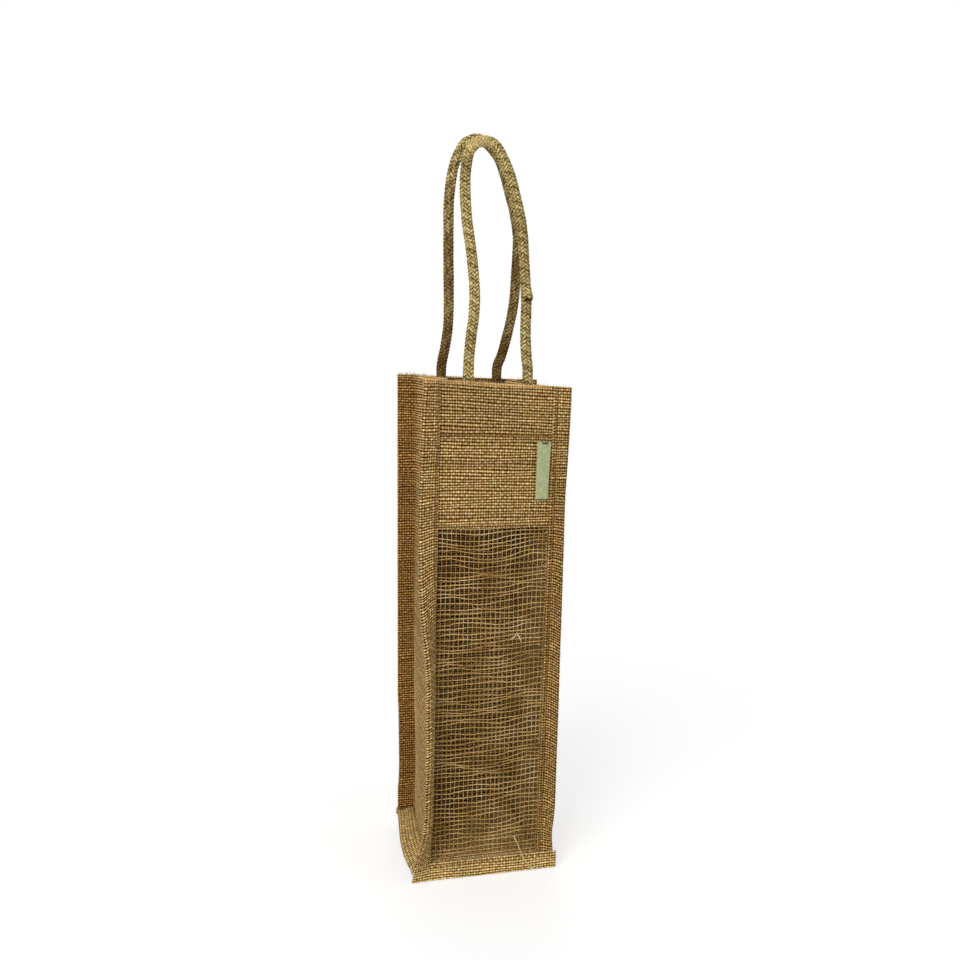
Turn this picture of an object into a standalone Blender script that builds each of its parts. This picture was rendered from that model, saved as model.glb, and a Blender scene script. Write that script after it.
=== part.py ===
"""Jute bottle bag with a net window, two rope handles and a flag label, built from its cut cloths.

The front looks along -Y, +X is to the right of it and +Z is up. The origin lies on the ground
under the middle of the base. Lengths are in metres.
"""

import math

import bmesh
import bpy
from mathutils import Matrix, Vector

# The bag
HEIGHT = 0.360
WIDTH = 0.080  # between the front's two seams
DEPTH = 0.084  # between the front and back cloths
CLOTH = 0.0010  # thickness of the woven jute
CLEAR = 0.0003  # between pieces that touch on the real bag

# Seams: two cloths stand out edge to edge, and the side or base cloth is folded round them
SEAM_FLANGE = 0.0135
RIM_HEIGHT = 0.0135  # the same seam along the base, which the bag stands on
FOLD_RADIUS = 0.0010
FRONT_RIM_CORNER = 0.0008
BACK_RIM_CORNER = 0.0006
SIDE_RIM_FLARE = math.radians(45)  # the rims of the sides lean outwards
SIDE_RIM_TOP_SHARE = 0.05  # of the rim's height, left free under the seam
TUCK = 0.0015  # that the cloths end short, all round, inside their folded seams
CORNER_ROOM = 0.0030  # from a corner's seam to the cloths that run down into the rims

# Hems and the window
TOP_HEM = 0.042
HEM_STITCH_DROP = 0.036
FRONT_CLOTH_TALL = 0.100  # from the top edge down to the window
NET_THICKNESS = 0.0008
NET_THREAD = 0.0009
NET_OVERLAP = 0.012  # of the net behind the front cloth
NET_HIDDEN_EDGE = 0.002  # of the net's first row, above the front cloth's lower edge
NET_GAPS_ACROSS = 10
NET_GAPS_UP = 30
NET_WAVE = 0.0014  # how far a cross thread wanders up and down
NET_WAVE_SHARES = (0.55, 0.31)  # wave lengths, as shares of the width between the seams
NET_WAVE_STEPS = (2.4, 4.1)  # radians by which each row's waves run ahead of the last row's
NET_WAVE_EDGE_SHARE = 0.25  # of the half width, over which the waves die out towards a seam

# Side gussets: level by level, how far the cloth is creased inwards and bellied outwards
GUSSET_CREASE = 0.014
GUSSET_BELLY = 0.003
GUSSET_LEVEL_SHARES = (0.14, 0.30, 0.46, 0.62, 0.72, 0.81, 0.90, 1.0)
GUSSET_CREASE_SHARES = (0.0, 0.0, 0.0, 0.03, 0.16, 0.42, 0.74, 1.0)
GUSSET_BELLY_SHARES = (0.55, 1.0, 0.85, 0.30, 0.0, 0.0, 0.0, 0.0)
GUSSET_ACROSS_SHARES = (0.12, 0.25, 0.38, 0.48, 0.52, 0.62, 0.75, 0.88)

# Rope handles
ROPE_RADIUS = 0.00425
ROPE_SPREAD = 0.021  # from a handle's middle to each leg
ROPE_HOLD = 0.040  # length of rope sewn behind the hem
PIVOT_RISE = 0.009  # of the bend above the bag's edge
HANDLE_LEAN = math.radians(10.4)
HANDLE_SWING = math.radians(126)
HANDLE_STEP = 0.011  # between points along the rope
ROUTE_PIECES = 12  # of the smooth curve between two of a route's own points
FRONT_HANDLE_SHIFT = 0.0015
BACK_HANDLE_SHIFT = -0.0030
FRONT_LOOP_TALL = 0.1595
BACK_LOOP_TALL = 0.1645
PIVOT_CUT_REACH = 0.020
# Routes chosen by hand: across as shares of the spread, up from the bend as shares of the loop
FRONT_ROUTE_SHARES = (
    (-1.00, 0.000), (-0.93, 0.113), (-0.76, 0.295), (-0.78, 0.458), (-0.94, 0.614),
    (-0.98, 0.765), (-0.90, 0.878), (-0.70, 0.959), (-0.39, 1.000), (0.00, 1.000),
    (0.34, 0.966), (0.64, 0.884), (0.81, 0.784), (0.92, 0.665), (1.00, 0.508),
    (1.02, 0.351), (1.01, 0.201), (1.00, 0.000),
)
BACK_ROUTE_SHARES = (
    (-1.00, 0.000), (-0.98, 0.182), (-0.96, 0.383), (-1.06, 0.559), (-1.08, 0.705),
    (-0.92, 0.869), (-0.65, 0.960), (-0.27, 1.000), (0.10, 0.979), (0.48, 0.918),
    (0.86, 0.815), (1.19, 0.669), (1.37, 0.517), (1.39, 0.359), (1.27, 0.201),
    (1.05, 0.073), (1.00, 0.000),
)
CAP_ANGLES = (math.radians(75), math.radians(50), math.radians(25))

# Sewing threads
THREAD_RADIUS = 0.00035
SEAM_STITCH_INSET = 0.0020  # from the seam line, over the folded flange
WINDOW_STITCH_RISE = 0.0030
THREAD_END = 0.0010  # left at the ends of a row of stitches
TACK_DROPS = (0.012, 0.022)  # of a rope's two turns of thread, below the bag's edge
TACK_TAIL = 0.0020
TACK_POINTS = 9

# Flag label
LABEL_DROP = 0.040  # of its top below the bag's edge
LABEL_TALL = 0.040
LABEL_WIDE = 0.0103
LABEL_TAPE = 0.0004
LABEL_LOFT = 0.0009  # between the middles of its two layers
LABEL_RISE = 0.0015  # of its middle above the front cloth's face
LABEL_ROOT_ROOM = 0.00095  # from its hinge to the seam

# Where the layers of cloth lie: middles of the cloths
FRONT_Y = -DEPTH / 2
BACK_Y = DEPTH / 2
LAYER = CLOTH + CLEAR
NET_Y = FRONT_Y + CLOTH / 2 + CLEAR + NET_THICKNESS / 2
FRONT_INNER_Y = NET_Y + NET_THICKNESS / 2 + CLEAR + CLOTH / 2
FRONT_OUTER_Y = FRONT_Y - LAYER
BACK_INNER_Y = BACK_Y - LAYER
BACK_OUTER_Y = BACK_Y + LAYER
FLANGE_TIP = WIDTH / 2 + SEAM_FLANGE
TURN_X = WIDTH / 2 + FOLD_RADIUS
RIM_SEAM_Z = RIM_HEIGHT + CLEAR
WINDOW_TOP = HEIGHT - FRONT_CLOTH_TALL
MIDDLE_REACH = WIDTH / 2 - TUCK
WEB_REACH = DEPTH / 2 - CORNER_ROOM - FOLD_RADIUS
RIM_IN = Vector((math.sin(SIDE_RIM_FLARE), -math.cos(SIDE_RIM_FLARE)))
RIM_UP = Vector((math.cos(SIDE_RIM_FLARE), math.sin(SIDE_RIM_FLARE)))
RIM_BEND = Vector((WIDTH / 2, RIM_SEAM_Z))
RIM_RUN = RIM_HEIGHT - LAYER - CLOTH / 2
FLOOR_Z = RIM_SEAM_Z - LAYER * math.sin(SIDE_RIM_FLARE)
ROPE_Y = DEPTH / 2 - LAYER - CLOTH / 2 - CLEAR - ROPE_RADIUS
PIVOT_Z = HEIGHT + PIVOT_RISE
THREAD_OFF = CLOTH / 2 + CLEAR + THREAD_RADIUS  # from a cloth's middle to a thread on it

JUTE = (0.45, 0.30, 0.14)
JUTE_LIGHT = (0.52, 0.37, 0.18)
NET_JUTE = (0.50, 0.34, 0.16)
ROPE_GREEN = (0.42, 0.34, 0.13)
THREAD_TAN = (0.36, 0.23, 0.10)
LABEL_GREEN = (0.40, 0.50, 0.24)


def clear_scene():
    for thing in list(bpy.data.objects):
        bpy.data.objects.remove(thing)


def new_collection(name):
    found = bpy.data.collections.new(name)
    bpy.context.scene.collection.children.link(found)
    return found


def finish(thing, colour, roughness, collection):
    """Gives a piece its own material and puts it in its collection."""
    material = bpy.data.materials.new(thing.name)
    material.use_nodes = True
    shader = material.node_tree.nodes["Principled BSDF"]
    shader.inputs["Base Color"].default_value = (*colour, 1)
    shader.inputs["Roughness"].default_value = roughness
    shader.inputs["Metallic"].default_value = 0
    thing.data.materials.append(material)
    collection.objects.link(thing)
    return thing


def cloth_sheet(name, columns, rows, place, thickness, colour, collection, keep=None):
    """A flat grid bent to place(column, row), given its thickness half to each side. Where keep
    is given, the cells that it refuses are left out."""
    mesh = bpy.data.meshes.new(name)
    work = bmesh.new()
    bmesh.ops.create_grid(work, x_segments=columns - 1, y_segments=rows - 1, size=0.5)
    spot = {}
    for vertex in work.verts:
        column = round((vertex.co.x + 0.5) * (columns - 1))
        row = round((vertex.co.y + 0.5) * (rows - 1))
        spot[vertex] = (column, row)
    if keep:
        dropped = []
        for face in work.faces:
            column = min(spot[v][0] for v in face.verts)
            row = min(spot[v][1] for v in face.verts)
            if not keep(column, row):
                dropped.append(face)
        bmesh.ops.delete(work, geom=dropped, context="FACES")
    for vertex in work.verts:
        vertex.co = Vector(place(*spot[vertex]))
    work.to_mesh(mesh)
    work.free()
    thing = bpy.data.objects.new(name, mesh)
    shell = thing.modifiers.new("thickness", "SOLIDIFY")
    shell.thickness = thickness
    shell.offset = 0
    shell.use_even_offset = True
    return finish(thing, colour, 0.9, collection)


def arc(centre, radius, start, end, steps):
    """Points on an arc between two angles, both ends included."""
    points = []
    for step in range(steps + 1):
        angle = start + (end - start) * step / steps
        points.append((centre[0] + radius * math.cos(angle), centre[1] + radius * math.sin(angle)))
    return points


def hem_profile(middle_y, hem_y, low_points):
    """A cloth's run in Y and Z: up from its low points, over the top fold and down the hem."""
    radius = abs(hem_y - middle_y) / 2
    centre = ((hem_y + middle_y) / 2, HEIGHT - CLOTH / 2 - radius)
    if hem_y > middle_y:
        fold = arc(centre, radius, math.pi, 0, 4)
    else:
        fold = arc(centre, radius, 0, math.pi, 4)
    run = [(middle_y, z) for z in low_points] + fold
    run.append((hem_y, HEIGHT - TOP_HEM))
    return run


def front_panel(collection):
    """The close cloth over the window, with its top edge folded in as a deep hem."""
    edge = flange_edge(FRONT_OUTER_Y, FRONT_INNER_Y)
    across = (-edge, -MIDDLE_REACH, MIDDLE_REACH, edge)
    run = hem_profile(FRONT_Y, FRONT_Y + LAYER, [WINDOW_TOP])

    def place(column, row):
        return (across[column], *run[row])

    def keep(column, row):
        return column == 1 or row == 0

    return cloth_sheet("front_panel", len(across), len(run), place, CLOTH, JUTE, collection, keep)


def back_panel(collection):
    """The back, in one piece from the rim to the hem."""
    edge = flange_edge(BACK_OUTER_Y, BACK_INNER_Y)
    across = (-edge, -MIDDLE_REACH, MIDDLE_REACH, edge)
    run = hem_profile(BACK_Y, BACK_INNER_Y, [CLOTH + TUCK, RIM_SEAM_Z])

    def place(column, row):
        return (across[column], *run[row])

    def keep(column, row):
        return column == 1 or row == 1

    return cloth_sheet("back_panel", len(across), len(run), place, CLOTH, JUTE, collection, keep)


def flange_turn(outer_y, inner_y):
    """The folded tip of a standing seam: its centre's X, its centre's Y and its radius."""
    radius = abs(outer_y - inner_y) / 2
    return FLANGE_TIP - CLOTH / 2 - radius, (outer_y + inner_y) / 2, radius


def flange_edge(outer_y, inner_y):
    """How far out a cloth reaches inside the folded seam."""
    return flange_turn(outer_y, inner_y)[0] - CLEAR


def net_lines():
    """The edges of the net's threads, across and up, with its hidden margins."""
    edge = flange_edge(FRONT_OUTER_Y, FRONT_INNER_Y)
    pitch = WIDTH / NET_GAPS_ACROSS
    across = [-edge]
    for bar in range(NET_GAPS_ACROSS + 1):
        middle = -WIDTH / 2 + bar * pitch
        across += [middle - NET_THREAD / 2, middle + NET_THREAD / 2]
    across.append(edge)
    low = RIM_SEAM_Z + NET_THREAD
    high = WINDOW_TOP + NET_HIDDEN_EDGE
    pitch = (high - low) / NET_GAPS_UP
    up = [CLOTH + TUCK, RIM_SEAM_Z, low]
    for gap in range(1, NET_GAPS_UP):
        middle = low + gap * pitch
        up += [middle - NET_THREAD / 2, middle + NET_THREAD / 2]
    up += [high, WINDOW_TOP + NET_OVERLAP]
    return across, up


def net_wave(x, row):
    """How far a cross thread wanders up or down at x; it is held still at both seams."""
    share = min(1, (1 - abs(2 * x / WIDTH)) / NET_WAVE_EDGE_SHARE)
    if share <= 0:
        return 0
    total = 0
    for length, step in zip(NET_WAVE_SHARES, NET_WAVE_STEPS):
        total += math.sin(math.tau * x / (length * WIDTH) + row * step) / 2
    return NET_WAVE * share * total


def window_net(collection):
    """The open net of the window, in one piece with the margins that the seams hold."""
    across, up = net_lines()
    last = len(across) - 2
    first_row = 2
    last_row = first_row + 2 * (NET_GAPS_UP - 1)
    inner = (3, len(across) - 5)

    def place(column, row):
        x, z = across[column], up[row]
        if first_row < row <= last_row:
            z += net_wave(x, (row - first_row - 1) // 2)
        return (x, NET_Y, z)

    def keep(column, row):
        if row == 0:
            return inner[0] <= column <= inner[1]
        if column in (0, last) or row < first_row or row > last_row:
            return True
        gap_row = (row - first_row) % 2 == 0
        gap_column = (column - 1) % 2 == 1
        return not (gap_row and gap_column)

    return cloth_sheet(
        "window_net", len(across), len(up), place, NET_THICKNESS, NET_JUTE, collection, keep
    )


def side_path():
    """Stations of a side cloth in plan, front edge to back edge, for the side at +X: the folded
    front seam, the gusset and the folded back seam. Each is (x, y, share across the gusset)."""
    front_x, front_y, front_radius = flange_turn(FRONT_OUTER_Y, FRONT_INNER_Y)
    back_x, back_y, back_radius = flange_turn(BACK_OUTER_Y, BACK_INNER_Y)
    quarter = math.pi / 2
    run = [(WIDTH / 2, FRONT_OUTER_Y)]
    run += arc((front_x, front_y), front_radius, -quarter, quarter, 4)
    run += arc((TURN_X, FRONT_INNER_Y + FOLD_RADIUS), FOLD_RADIUS, -quarter, -2 * quarter, 2)
    start = len(run)
    begin, end = FRONT_INNER_Y + FOLD_RADIUS, BACK_INNER_Y - FOLD_RADIUS
    run.append((WIDTH / 2, -WEB_REACH))
    for share in GUSSET_ACROSS_SHARES:
        run.append((WIDTH / 2, -WEB_REACH + 2 * WEB_REACH * share))
    run.append((WIDTH / 2, WEB_REACH))
    stop = len(run)
    run += arc((TURN_X, BACK_INNER_Y - FOLD_RADIUS), FOLD_RADIUS, 2 * quarter, quarter, 2)
    run += arc((back_x, back_y), back_radius, -quarter, quarter, 4)
    run.append((WIDTH / 2, BACK_OUTER_Y))
    shares = []
    for x, y in run:
        within = x <= WIDTH / 2 and begin <= y <= end
        shares.append((y - begin) / (end - begin) if within else 0)
    return run, shares, start, stop


def side_panel(name, side, collection):
    """A side cloth: folded round both its seams, with a gusset that is creased inwards towards
    the top and bellied below, and a lower edge that runs out into the flared rim."""
    run, shares, start, stop = side_path()
    levels = [RIM_SEAM_Z]
    creases = [0]
    bellies = [0]
    for level, crease, belly in zip(
        GUSSET_LEVEL_SHARES, GUSSET_CREASE_SHARES, GUSSET_BELLY_SHARES
    ):
        levels.append(level * HEIGHT)
        creases.append(crease * GUSSET_CREASE)
        bellies.append(belly * GUSSET_BELLY)

    def place(column, row):
        x, y = run[column]
        if row == 0:
            tip = RIM_BEND + RIM_RUN * RIM_IN
            return (side * tip.x, y, tip.y)
        share = shares[column]
        fold = 1 - abs(2 * share - 1)
        swell = 1 - (2 * share - 1) ** 2
        if not start <= column < stop:
            fold = swell = 0
        x += bellies[row - 1] * swell - creases[row - 1] * fold
        return (side * x, y, levels[row - 1])

    def keep(column, row):
        return row > 0 or start <= column < stop - 1

    return cloth_sheet(name, len(run), len(levels) + 1, place, CLOTH, JUTE, collection, keep)


def rim_arm(outer_y, inner_y, corner, edge_y):
    """One straight rim in Y and Z: down from the floor, under the wall's edge and up outside."""
    side = 1 if outer_y > inner_y else -1
    bend = (inner_y - side * FOLD_RADIUS, FLOOR_Z - FOLD_RADIUS)
    turn = arc(bend, FOLD_RADIUS, math.pi / 2, math.pi / 2 - side * math.pi / 2, 2)
    turn[0] = (edge_y, FLOOR_Z)
    return turn + [
        (inner_y, CLOTH / 2 + corner),
        (inner_y + side * corner, CLOTH / 2),
        (outer_y - side * corner, CLOTH / 2),
        (outer_y, CLOTH / 2 + corner),
        (outer_y, RIM_HEIGHT),
    ]


def flared_arm():
    """The flared rim of the side at +X, in X and Z: out from the floor, round the tip and back."""
    points = [RIM_BEND - LAYER * RIM_UP]
    tip = RIM_BEND + RIM_RUN * RIM_IN
    for step in range(5):
        angle = math.pi * step / 4
        points.append(tip + LAYER * (math.sin(angle) * RIM_IN - math.cos(angle) * RIM_UP))
    top = RIM_BEND + SIDE_RIM_TOP_SHARE * RIM_HEIGHT * RIM_IN + LAYER * RIM_UP
    points.append(top)
    return [(point.x, point.y) for point in points]


def base_panel(collection):
    """The square floor with its four margins: each runs down inside a wall's lower edge, turns
    under it and comes up outside, as the rim that the bag stands on."""
    side_arm = flared_arm()
    floor_x = MIDDLE_REACH
    front_edge = FRONT_INNER_Y + FOLD_RADIUS
    back_edge = BACK_INNER_Y - FOLD_RADIUS
    front_arm = rim_arm(FRONT_OUTER_Y, FRONT_INNER_Y, FRONT_RIM_CORNER, front_edge)
    back_arm = rim_arm(BACK_OUTER_Y, BACK_INNER_Y, BACK_RIM_CORNER, back_edge)
    arm = len(side_arm)
    wide = [(-x, z) for x, z in reversed(side_arm)]
    wide += [(-floor_x, FLOOR_Z), (0, FLOOR_Z), (floor_x, FLOOR_Z)]
    wide += side_arm
    deep = list(reversed(front_arm))
    front = len(front_arm)
    deep += [(-WEB_REACH, FLOOR_Z), (WEB_REACH, FLOOR_Z)]
    deep += back_arm
    back = len(deep) - len(back_arm)
    outer_rows = 4  # points of a straight rim's arm from the middle of its flat foot outwards
    last_wide, last_deep = len(wide) - 1, len(deep) - 1
    flap = (FLANGE_TIP - floor_x) / arm

    def place(column, row):
        x, x_height = wide[column]
        y, y_height = deep[row]
        in_side = column < arm or column > last_wide - arm
        in_end = row < front or row >= back
        if in_side and in_end:
            if row < outer_rows or row > last_deep - outer_rows:
                steps = arm - column if column < arm else column - (last_wide - arm)
                reach = floor_x + flap * steps
                return (math.copysign(reach, x), y, y_height)
            return (x, y, x_height)
        return (x, y, x_height if in_side else y_height)

    def keep(column, row):
        side_cell = column < arm or column >= last_wide - arm
        outer = row < outer_rows - 1 or row > last_deep - outer_rows
        end_cell = row < front or row >= back - 1
        return not (side_cell and end_cell and not outer)

    return cloth_sheet(
        "base_panel", len(wide), len(deep), place, CLOTH, JUTE_LIGHT, collection, keep
    )


def smooth_route(points, step):
    """Points about one step apart on the smooth curve through a route's own points."""
    spots = [Vector(point) for point in points]
    spots = [2 * spots[0] - spots[1]] + spots + [2 * spots[-1] - spots[-2]]
    fine = []
    for index in range(1, len(spots) - 2):
        before, start, end, after = spots[index - 1:index + 3]
        for piece in range(ROUTE_PIECES):
            t = piece / ROUTE_PIECES
            fine.append(
                0.5 * (2 * start + (end - before) * t
                       + (2 * before - 5 * start + 4 * end - after) * t ** 2
                       + (3 * start - before - 3 * end + after) * t ** 3)
            )
    fine.append(spots[-2])
    lengths = [0]
    for a, b in zip(fine, fine[1:]):
        lengths.append(lengths[-1] + (b - a).length)
    count = max(2, round(lengths[-1] / step))
    found = [fine[0]]
    for index in range(1, count):
        goal = lengths[-1] * index / count
        spot = next(i for i, reached in enumerate(lengths) if reached >= goal)
        share = (goal - lengths[spot - 1]) / (lengths[spot] - lengths[spot - 1])
        found.append(fine[spot - 1].lerp(fine[spot], share))
    return found + [fine[-1]]


def tube(name, points, radii, radius, resolution, colour, collection):
    """A round tube along points, as a bevelled curve with capped ends."""
    curve = bpy.data.curves.new(name, "CURVE")
    curve.dimensions = "3D"
    curve.bevel_depth = radius
    curve.bevel_resolution = resolution
    curve.use_fill_caps = True
    spline = curve.splines.new("POLY")
    spline.points.add(len(points) - 1)
    for index, point in enumerate(points):
        spline.points[index].co = (*point, 1)
        spline.points[index].radius = radii[index] if radii else 1
    spline.use_smooth = True
    return finish(bpy.data.objects.new(name, curve), colour, 0.85, collection)


def rope_handle(name, side, shift, tall, shares, collection):
    """A rope loop that turns about the line through its two bends, with a ball-shaped end in
    each. Its own frame has that line as its X axis and stands up along the loop."""
    route = [(across * ROPE_SPREAD, up * tall) for across, up in shares]
    line = smooth_route(route, HANDLE_STEP)
    points = []
    radii = []
    for angle in CAP_ANGLES:
        points.append((line[0].x, 0, -ROPE_RADIUS * math.sin(angle)))
        radii.append(math.cos(angle))
    for spot in line:
        points.append((spot.x, 0, spot.y))
        radii.append(1)
    for angle in reversed(CAP_ANGLES):
        points.append((line[-1].x, 0, -ROPE_RADIUS * math.sin(angle)))
        radii.append(math.cos(angle))
    handle = tube(name, points, radii, ROPE_RADIUS, 4, ROPE_GREEN, collection)
    handle.location = (shift, side * ROPE_Y, PIVOT_Z)
    handle.rotation_euler.x = side * HANDLE_LEAN
    return handle


def swing_cutter(name, x, side, collection):
    """What a handle's end sweeps at its bend: a ball, and its rope at the end of the swing."""
    radius = ROPE_RADIUS + CLEAR
    centre = Vector((x, side * ROPE_Y, PIVOT_Z))
    angle = side * (HANDLE_LEAN - HANDLE_SWING)
    work = bmesh.new()
    ball = bmesh.ops.create_uvsphere(work, u_segments=24, v_segments=12, radius=radius)
    bmesh.ops.translate(work, verts=ball["verts"], vec=centre)
    ball_mesh = bpy.data.meshes.new(name + "_ball")
    work.to_mesh(ball_mesh)
    work.free()
    work = bmesh.new()
    turn = Matrix.Rotation(angle, 4, "X")
    rod = bmesh.ops.create_cone(
        work, cap_ends=True, segments=24, radius1=radius, radius2=radius, depth=PIVOT_CUT_REACH
    )
    bmesh.ops.translate(work, verts=rod["verts"], vec=(0, 0, PIVOT_CUT_REACH / 2))
    bmesh.ops.transform(work, verts=rod["verts"], matrix=Matrix.Translation(centre) @ turn)
    rod_mesh = bpy.data.meshes.new(name + "_rod")
    work.to_mesh(rod_mesh)
    work.free()
    cutters = []
    for mesh in (ball_mesh, rod_mesh):
        cutter = bpy.data.objects.new(mesh.name, mesh)
        cutter.hide_render = True
        cutter.display_type = "WIRE"
        collection.objects.link(cutter)
        cutters.append(cutter)
    return cutters


def rope_end(name, x, side, collection, cutters):
    """The sewn-in end of a rope, upright behind the hem, hollowed where the handle turns."""
    mesh = bpy.data.meshes.new(name)
    work = bmesh.new()
    tall = ROPE_HOLD + PIVOT_RISE - CLEAR
    made = bmesh.ops.create_cone(
        work, cap_ends=True, segments=16, radius1=ROPE_RADIUS, radius2=ROPE_RADIUS, depth=tall
    )
    bmesh.ops.translate(work, verts=made["verts"], vec=(0, 0, tall / 2 - ROPE_HOLD))
    work.to_mesh(mesh)
    work.free()
    mesh.shade_smooth()
    mesh.set_sharp_from_angle(angle=math.radians(40))
    thing = bpy.data.objects.new(name, mesh)
    thing.location = (x, side * ROPE_Y, HEIGHT)
    for cutter in swing_cutter(name, x, side, cutters):
        cut = thing.modifiers.new(cutter.name, "BOOLEAN")
        cut.operation = "DIFFERENCE"
        cut.solver = "EXACT"
        cut.object = cutter
    return finish(thing, ROPE_GREEN, 0.85, collection)


def rope_tack(name, x, side, collection):
    """The thread that holds a rope end to the hem: turns round the rope's inner half, joined at
    the hem's face."""
    radius = ROPE_RADIUS + CLEAR + THREAD_RADIUS
    hem_room = ROPE_RADIUS - THREAD_RADIUS
    start = math.asin(hem_room / radius)
    points = []
    for turn, drop in enumerate(TACK_DROPS):
        run = []
        foot = radius * math.cos(start) + TACK_TAIL
        run.append((foot, -hem_room))
        for step in range(TACK_POINTS):
            angle = -start + (math.pi + 2 * start) * step / (TACK_POINTS - 1)
            run.append((radius * math.cos(angle), radius * math.sin(angle)))
        run.append((-foot, -hem_room))
        if turn % 2:
            run.reverse()
        points += [(x + dx, side * (ROPE_Y - dy), HEIGHT - drop) for dx, dy in run]
    return tube(name, points, None, THREAD_RADIUS, 1, THREAD_TAN, collection)


def thread_line(name, start, end, collection):
    """A row of stitches, as its thread."""
    return tube(name, [start, end], None, THREAD_RADIUS, 1, THREAD_TAN, collection)


def seam_threads(collection):
    """The sewing of the four standing seams, the rims, the hems and the window."""
    seam_x = WIDTH / 2 + SEAM_STITCH_INSET
    low = RIM_SEAM_Z + THREAD_END
    high = HEIGHT - THREAD_END
    front_y = FRONT_OUTER_Y - THREAD_OFF
    back_y = BACK_OUTER_Y + THREAD_OFF
    for ends, y in (("front", front_y), ("back", back_y)):
        for word, side in (("left", -1), ("right", 1)):
            name = f"{ends}_{word}_seam_thread"
            thread_line(name, (side * seam_x, y, low), (side * seam_x, y, high), collection)
        z = RIM_HEIGHT - SEAM_STITCH_INSET
        reach = FLANGE_TIP - THREAD_END
        thread_line(f"{ends}_rim_thread", (-reach, y, z), (reach, y, z), collection)
    spot = RIM_BEND + SEAM_STITCH_INSET * RIM_IN + (LAYER + THREAD_OFF) * RIM_UP
    reach = WEB_REACH - THREAD_END
    for word, side in (("left", -1), ("right", 1)):
        start = (side * spot.x, -reach, spot.y)
        end = (side * spot.x, reach, spot.y)
        thread_line(f"{word}_rim_thread", start, end, collection)
    rows = (
        ("front_hem_thread", FRONT_Y - THREAD_OFF, HEIGHT - HEM_STITCH_DROP),
        ("back_hem_thread", BACK_Y + THREAD_OFF, HEIGHT - HEM_STITCH_DROP),
        ("window_thread", FRONT_Y - THREAD_OFF, WINDOW_TOP + WINDOW_STITCH_RISE),
    )
    for name, y, z in rows:
        thread_line(name, (-MIDDLE_REACH, y, z), (MIDDLE_REACH, y, z), collection)


def side_label(collection):
    """A folded tape, sewn into the front right seam by both its ends, that turns about that
    seam."""
    root = WIDTH / 2 - LABEL_ROOT_ROOM
    middle = FRONT_Y - CLOTH / 2 - LABEL_RISE
    radius = LABEL_LOFT / 2
    fold = arc((radius - LABEL_WIDE, 0), radius, -math.pi / 2, -3 * math.pi / 2, 4)
    run = [(0, -radius)] + fold + [(0, radius)]
    rows = (-LABEL_TALL, 0)

    def place(column, row):
        return (*run[column], rows[row])

    label = cloth_sheet(
        "side_label", len(run), len(rows), place, LABEL_TAPE, LABEL_GREEN, collection
    )
    label.location = (root, middle, HEIGHT - LABEL_DROP)
    return label


def build():
    clear_scene()
    bag = new_collection("bottle_bag")
    cutters = new_collection("cutters")
    front_panel(bag)
    window_net(bag)
    back_panel(bag)
    side_panel("left_side_panel", -1, bag)
    side_panel("right_side_panel", 1, bag)
    base_panel(bag)
    handles = (
        ("front", -1, FRONT_HANDLE_SHIFT, FRONT_LOOP_TALL, FRONT_ROUTE_SHARES),
        ("back", 1, BACK_HANDLE_SHIFT, BACK_LOOP_TALL, BACK_ROUTE_SHARES),
    )
    for word, side, shift, tall, shares in handles:
        rope_handle(f"{word}_handle", side, shift, tall, shares, bag)
        for end_word, end in (("left", -1), ("right", 1)):
            x = shift + end * ROPE_SPREAD
            rope_end(f"{word}_{end_word}_rope_end", x, side, bag, cutters)
            rope_tack(f"{word}_{end_word}_rope_tack", x, side, bag)
    seam_threads(bag)
    side_label(bag)


build()
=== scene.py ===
"""Looks of a jute bottle bag: woven cloths, an open net, braided ropes and a bare green label.

The bag's front looks along -Y, +X is to the right of it and +Z is up. Lengths are in metres.
A cloth is worked out on its own threads: u runs across it and v up it, and every cloth is first
laid out straight and then settled, as the whole bag leans, bows and turns its seams. A fade is
where something sets in, and the length over which it does.
"""

import math

import bpy
import numpy as np
from mathutils import Matrix, Vector

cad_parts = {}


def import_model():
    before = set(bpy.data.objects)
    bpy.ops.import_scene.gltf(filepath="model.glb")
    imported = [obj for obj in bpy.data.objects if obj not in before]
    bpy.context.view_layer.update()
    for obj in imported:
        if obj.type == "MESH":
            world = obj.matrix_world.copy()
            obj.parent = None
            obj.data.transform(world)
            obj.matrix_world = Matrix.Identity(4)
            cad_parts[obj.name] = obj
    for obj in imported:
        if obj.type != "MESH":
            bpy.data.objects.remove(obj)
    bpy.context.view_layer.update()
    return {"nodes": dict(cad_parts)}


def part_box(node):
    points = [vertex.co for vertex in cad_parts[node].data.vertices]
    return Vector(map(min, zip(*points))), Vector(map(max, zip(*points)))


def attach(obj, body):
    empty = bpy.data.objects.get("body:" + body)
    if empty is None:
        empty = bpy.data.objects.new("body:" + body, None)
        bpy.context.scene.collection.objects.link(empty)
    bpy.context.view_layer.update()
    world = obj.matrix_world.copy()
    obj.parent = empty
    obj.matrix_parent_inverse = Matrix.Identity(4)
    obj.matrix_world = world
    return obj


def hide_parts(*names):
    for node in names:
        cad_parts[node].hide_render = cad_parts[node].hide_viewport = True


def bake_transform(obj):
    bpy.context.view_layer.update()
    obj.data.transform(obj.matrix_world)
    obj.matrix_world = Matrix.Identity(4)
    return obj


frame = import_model()

MM = 0.001
QUARTER = math.pi / 2
SIDES = (("left", -1), ("right", 1))
ENDS = (("front", -1), ("back", 1))

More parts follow.
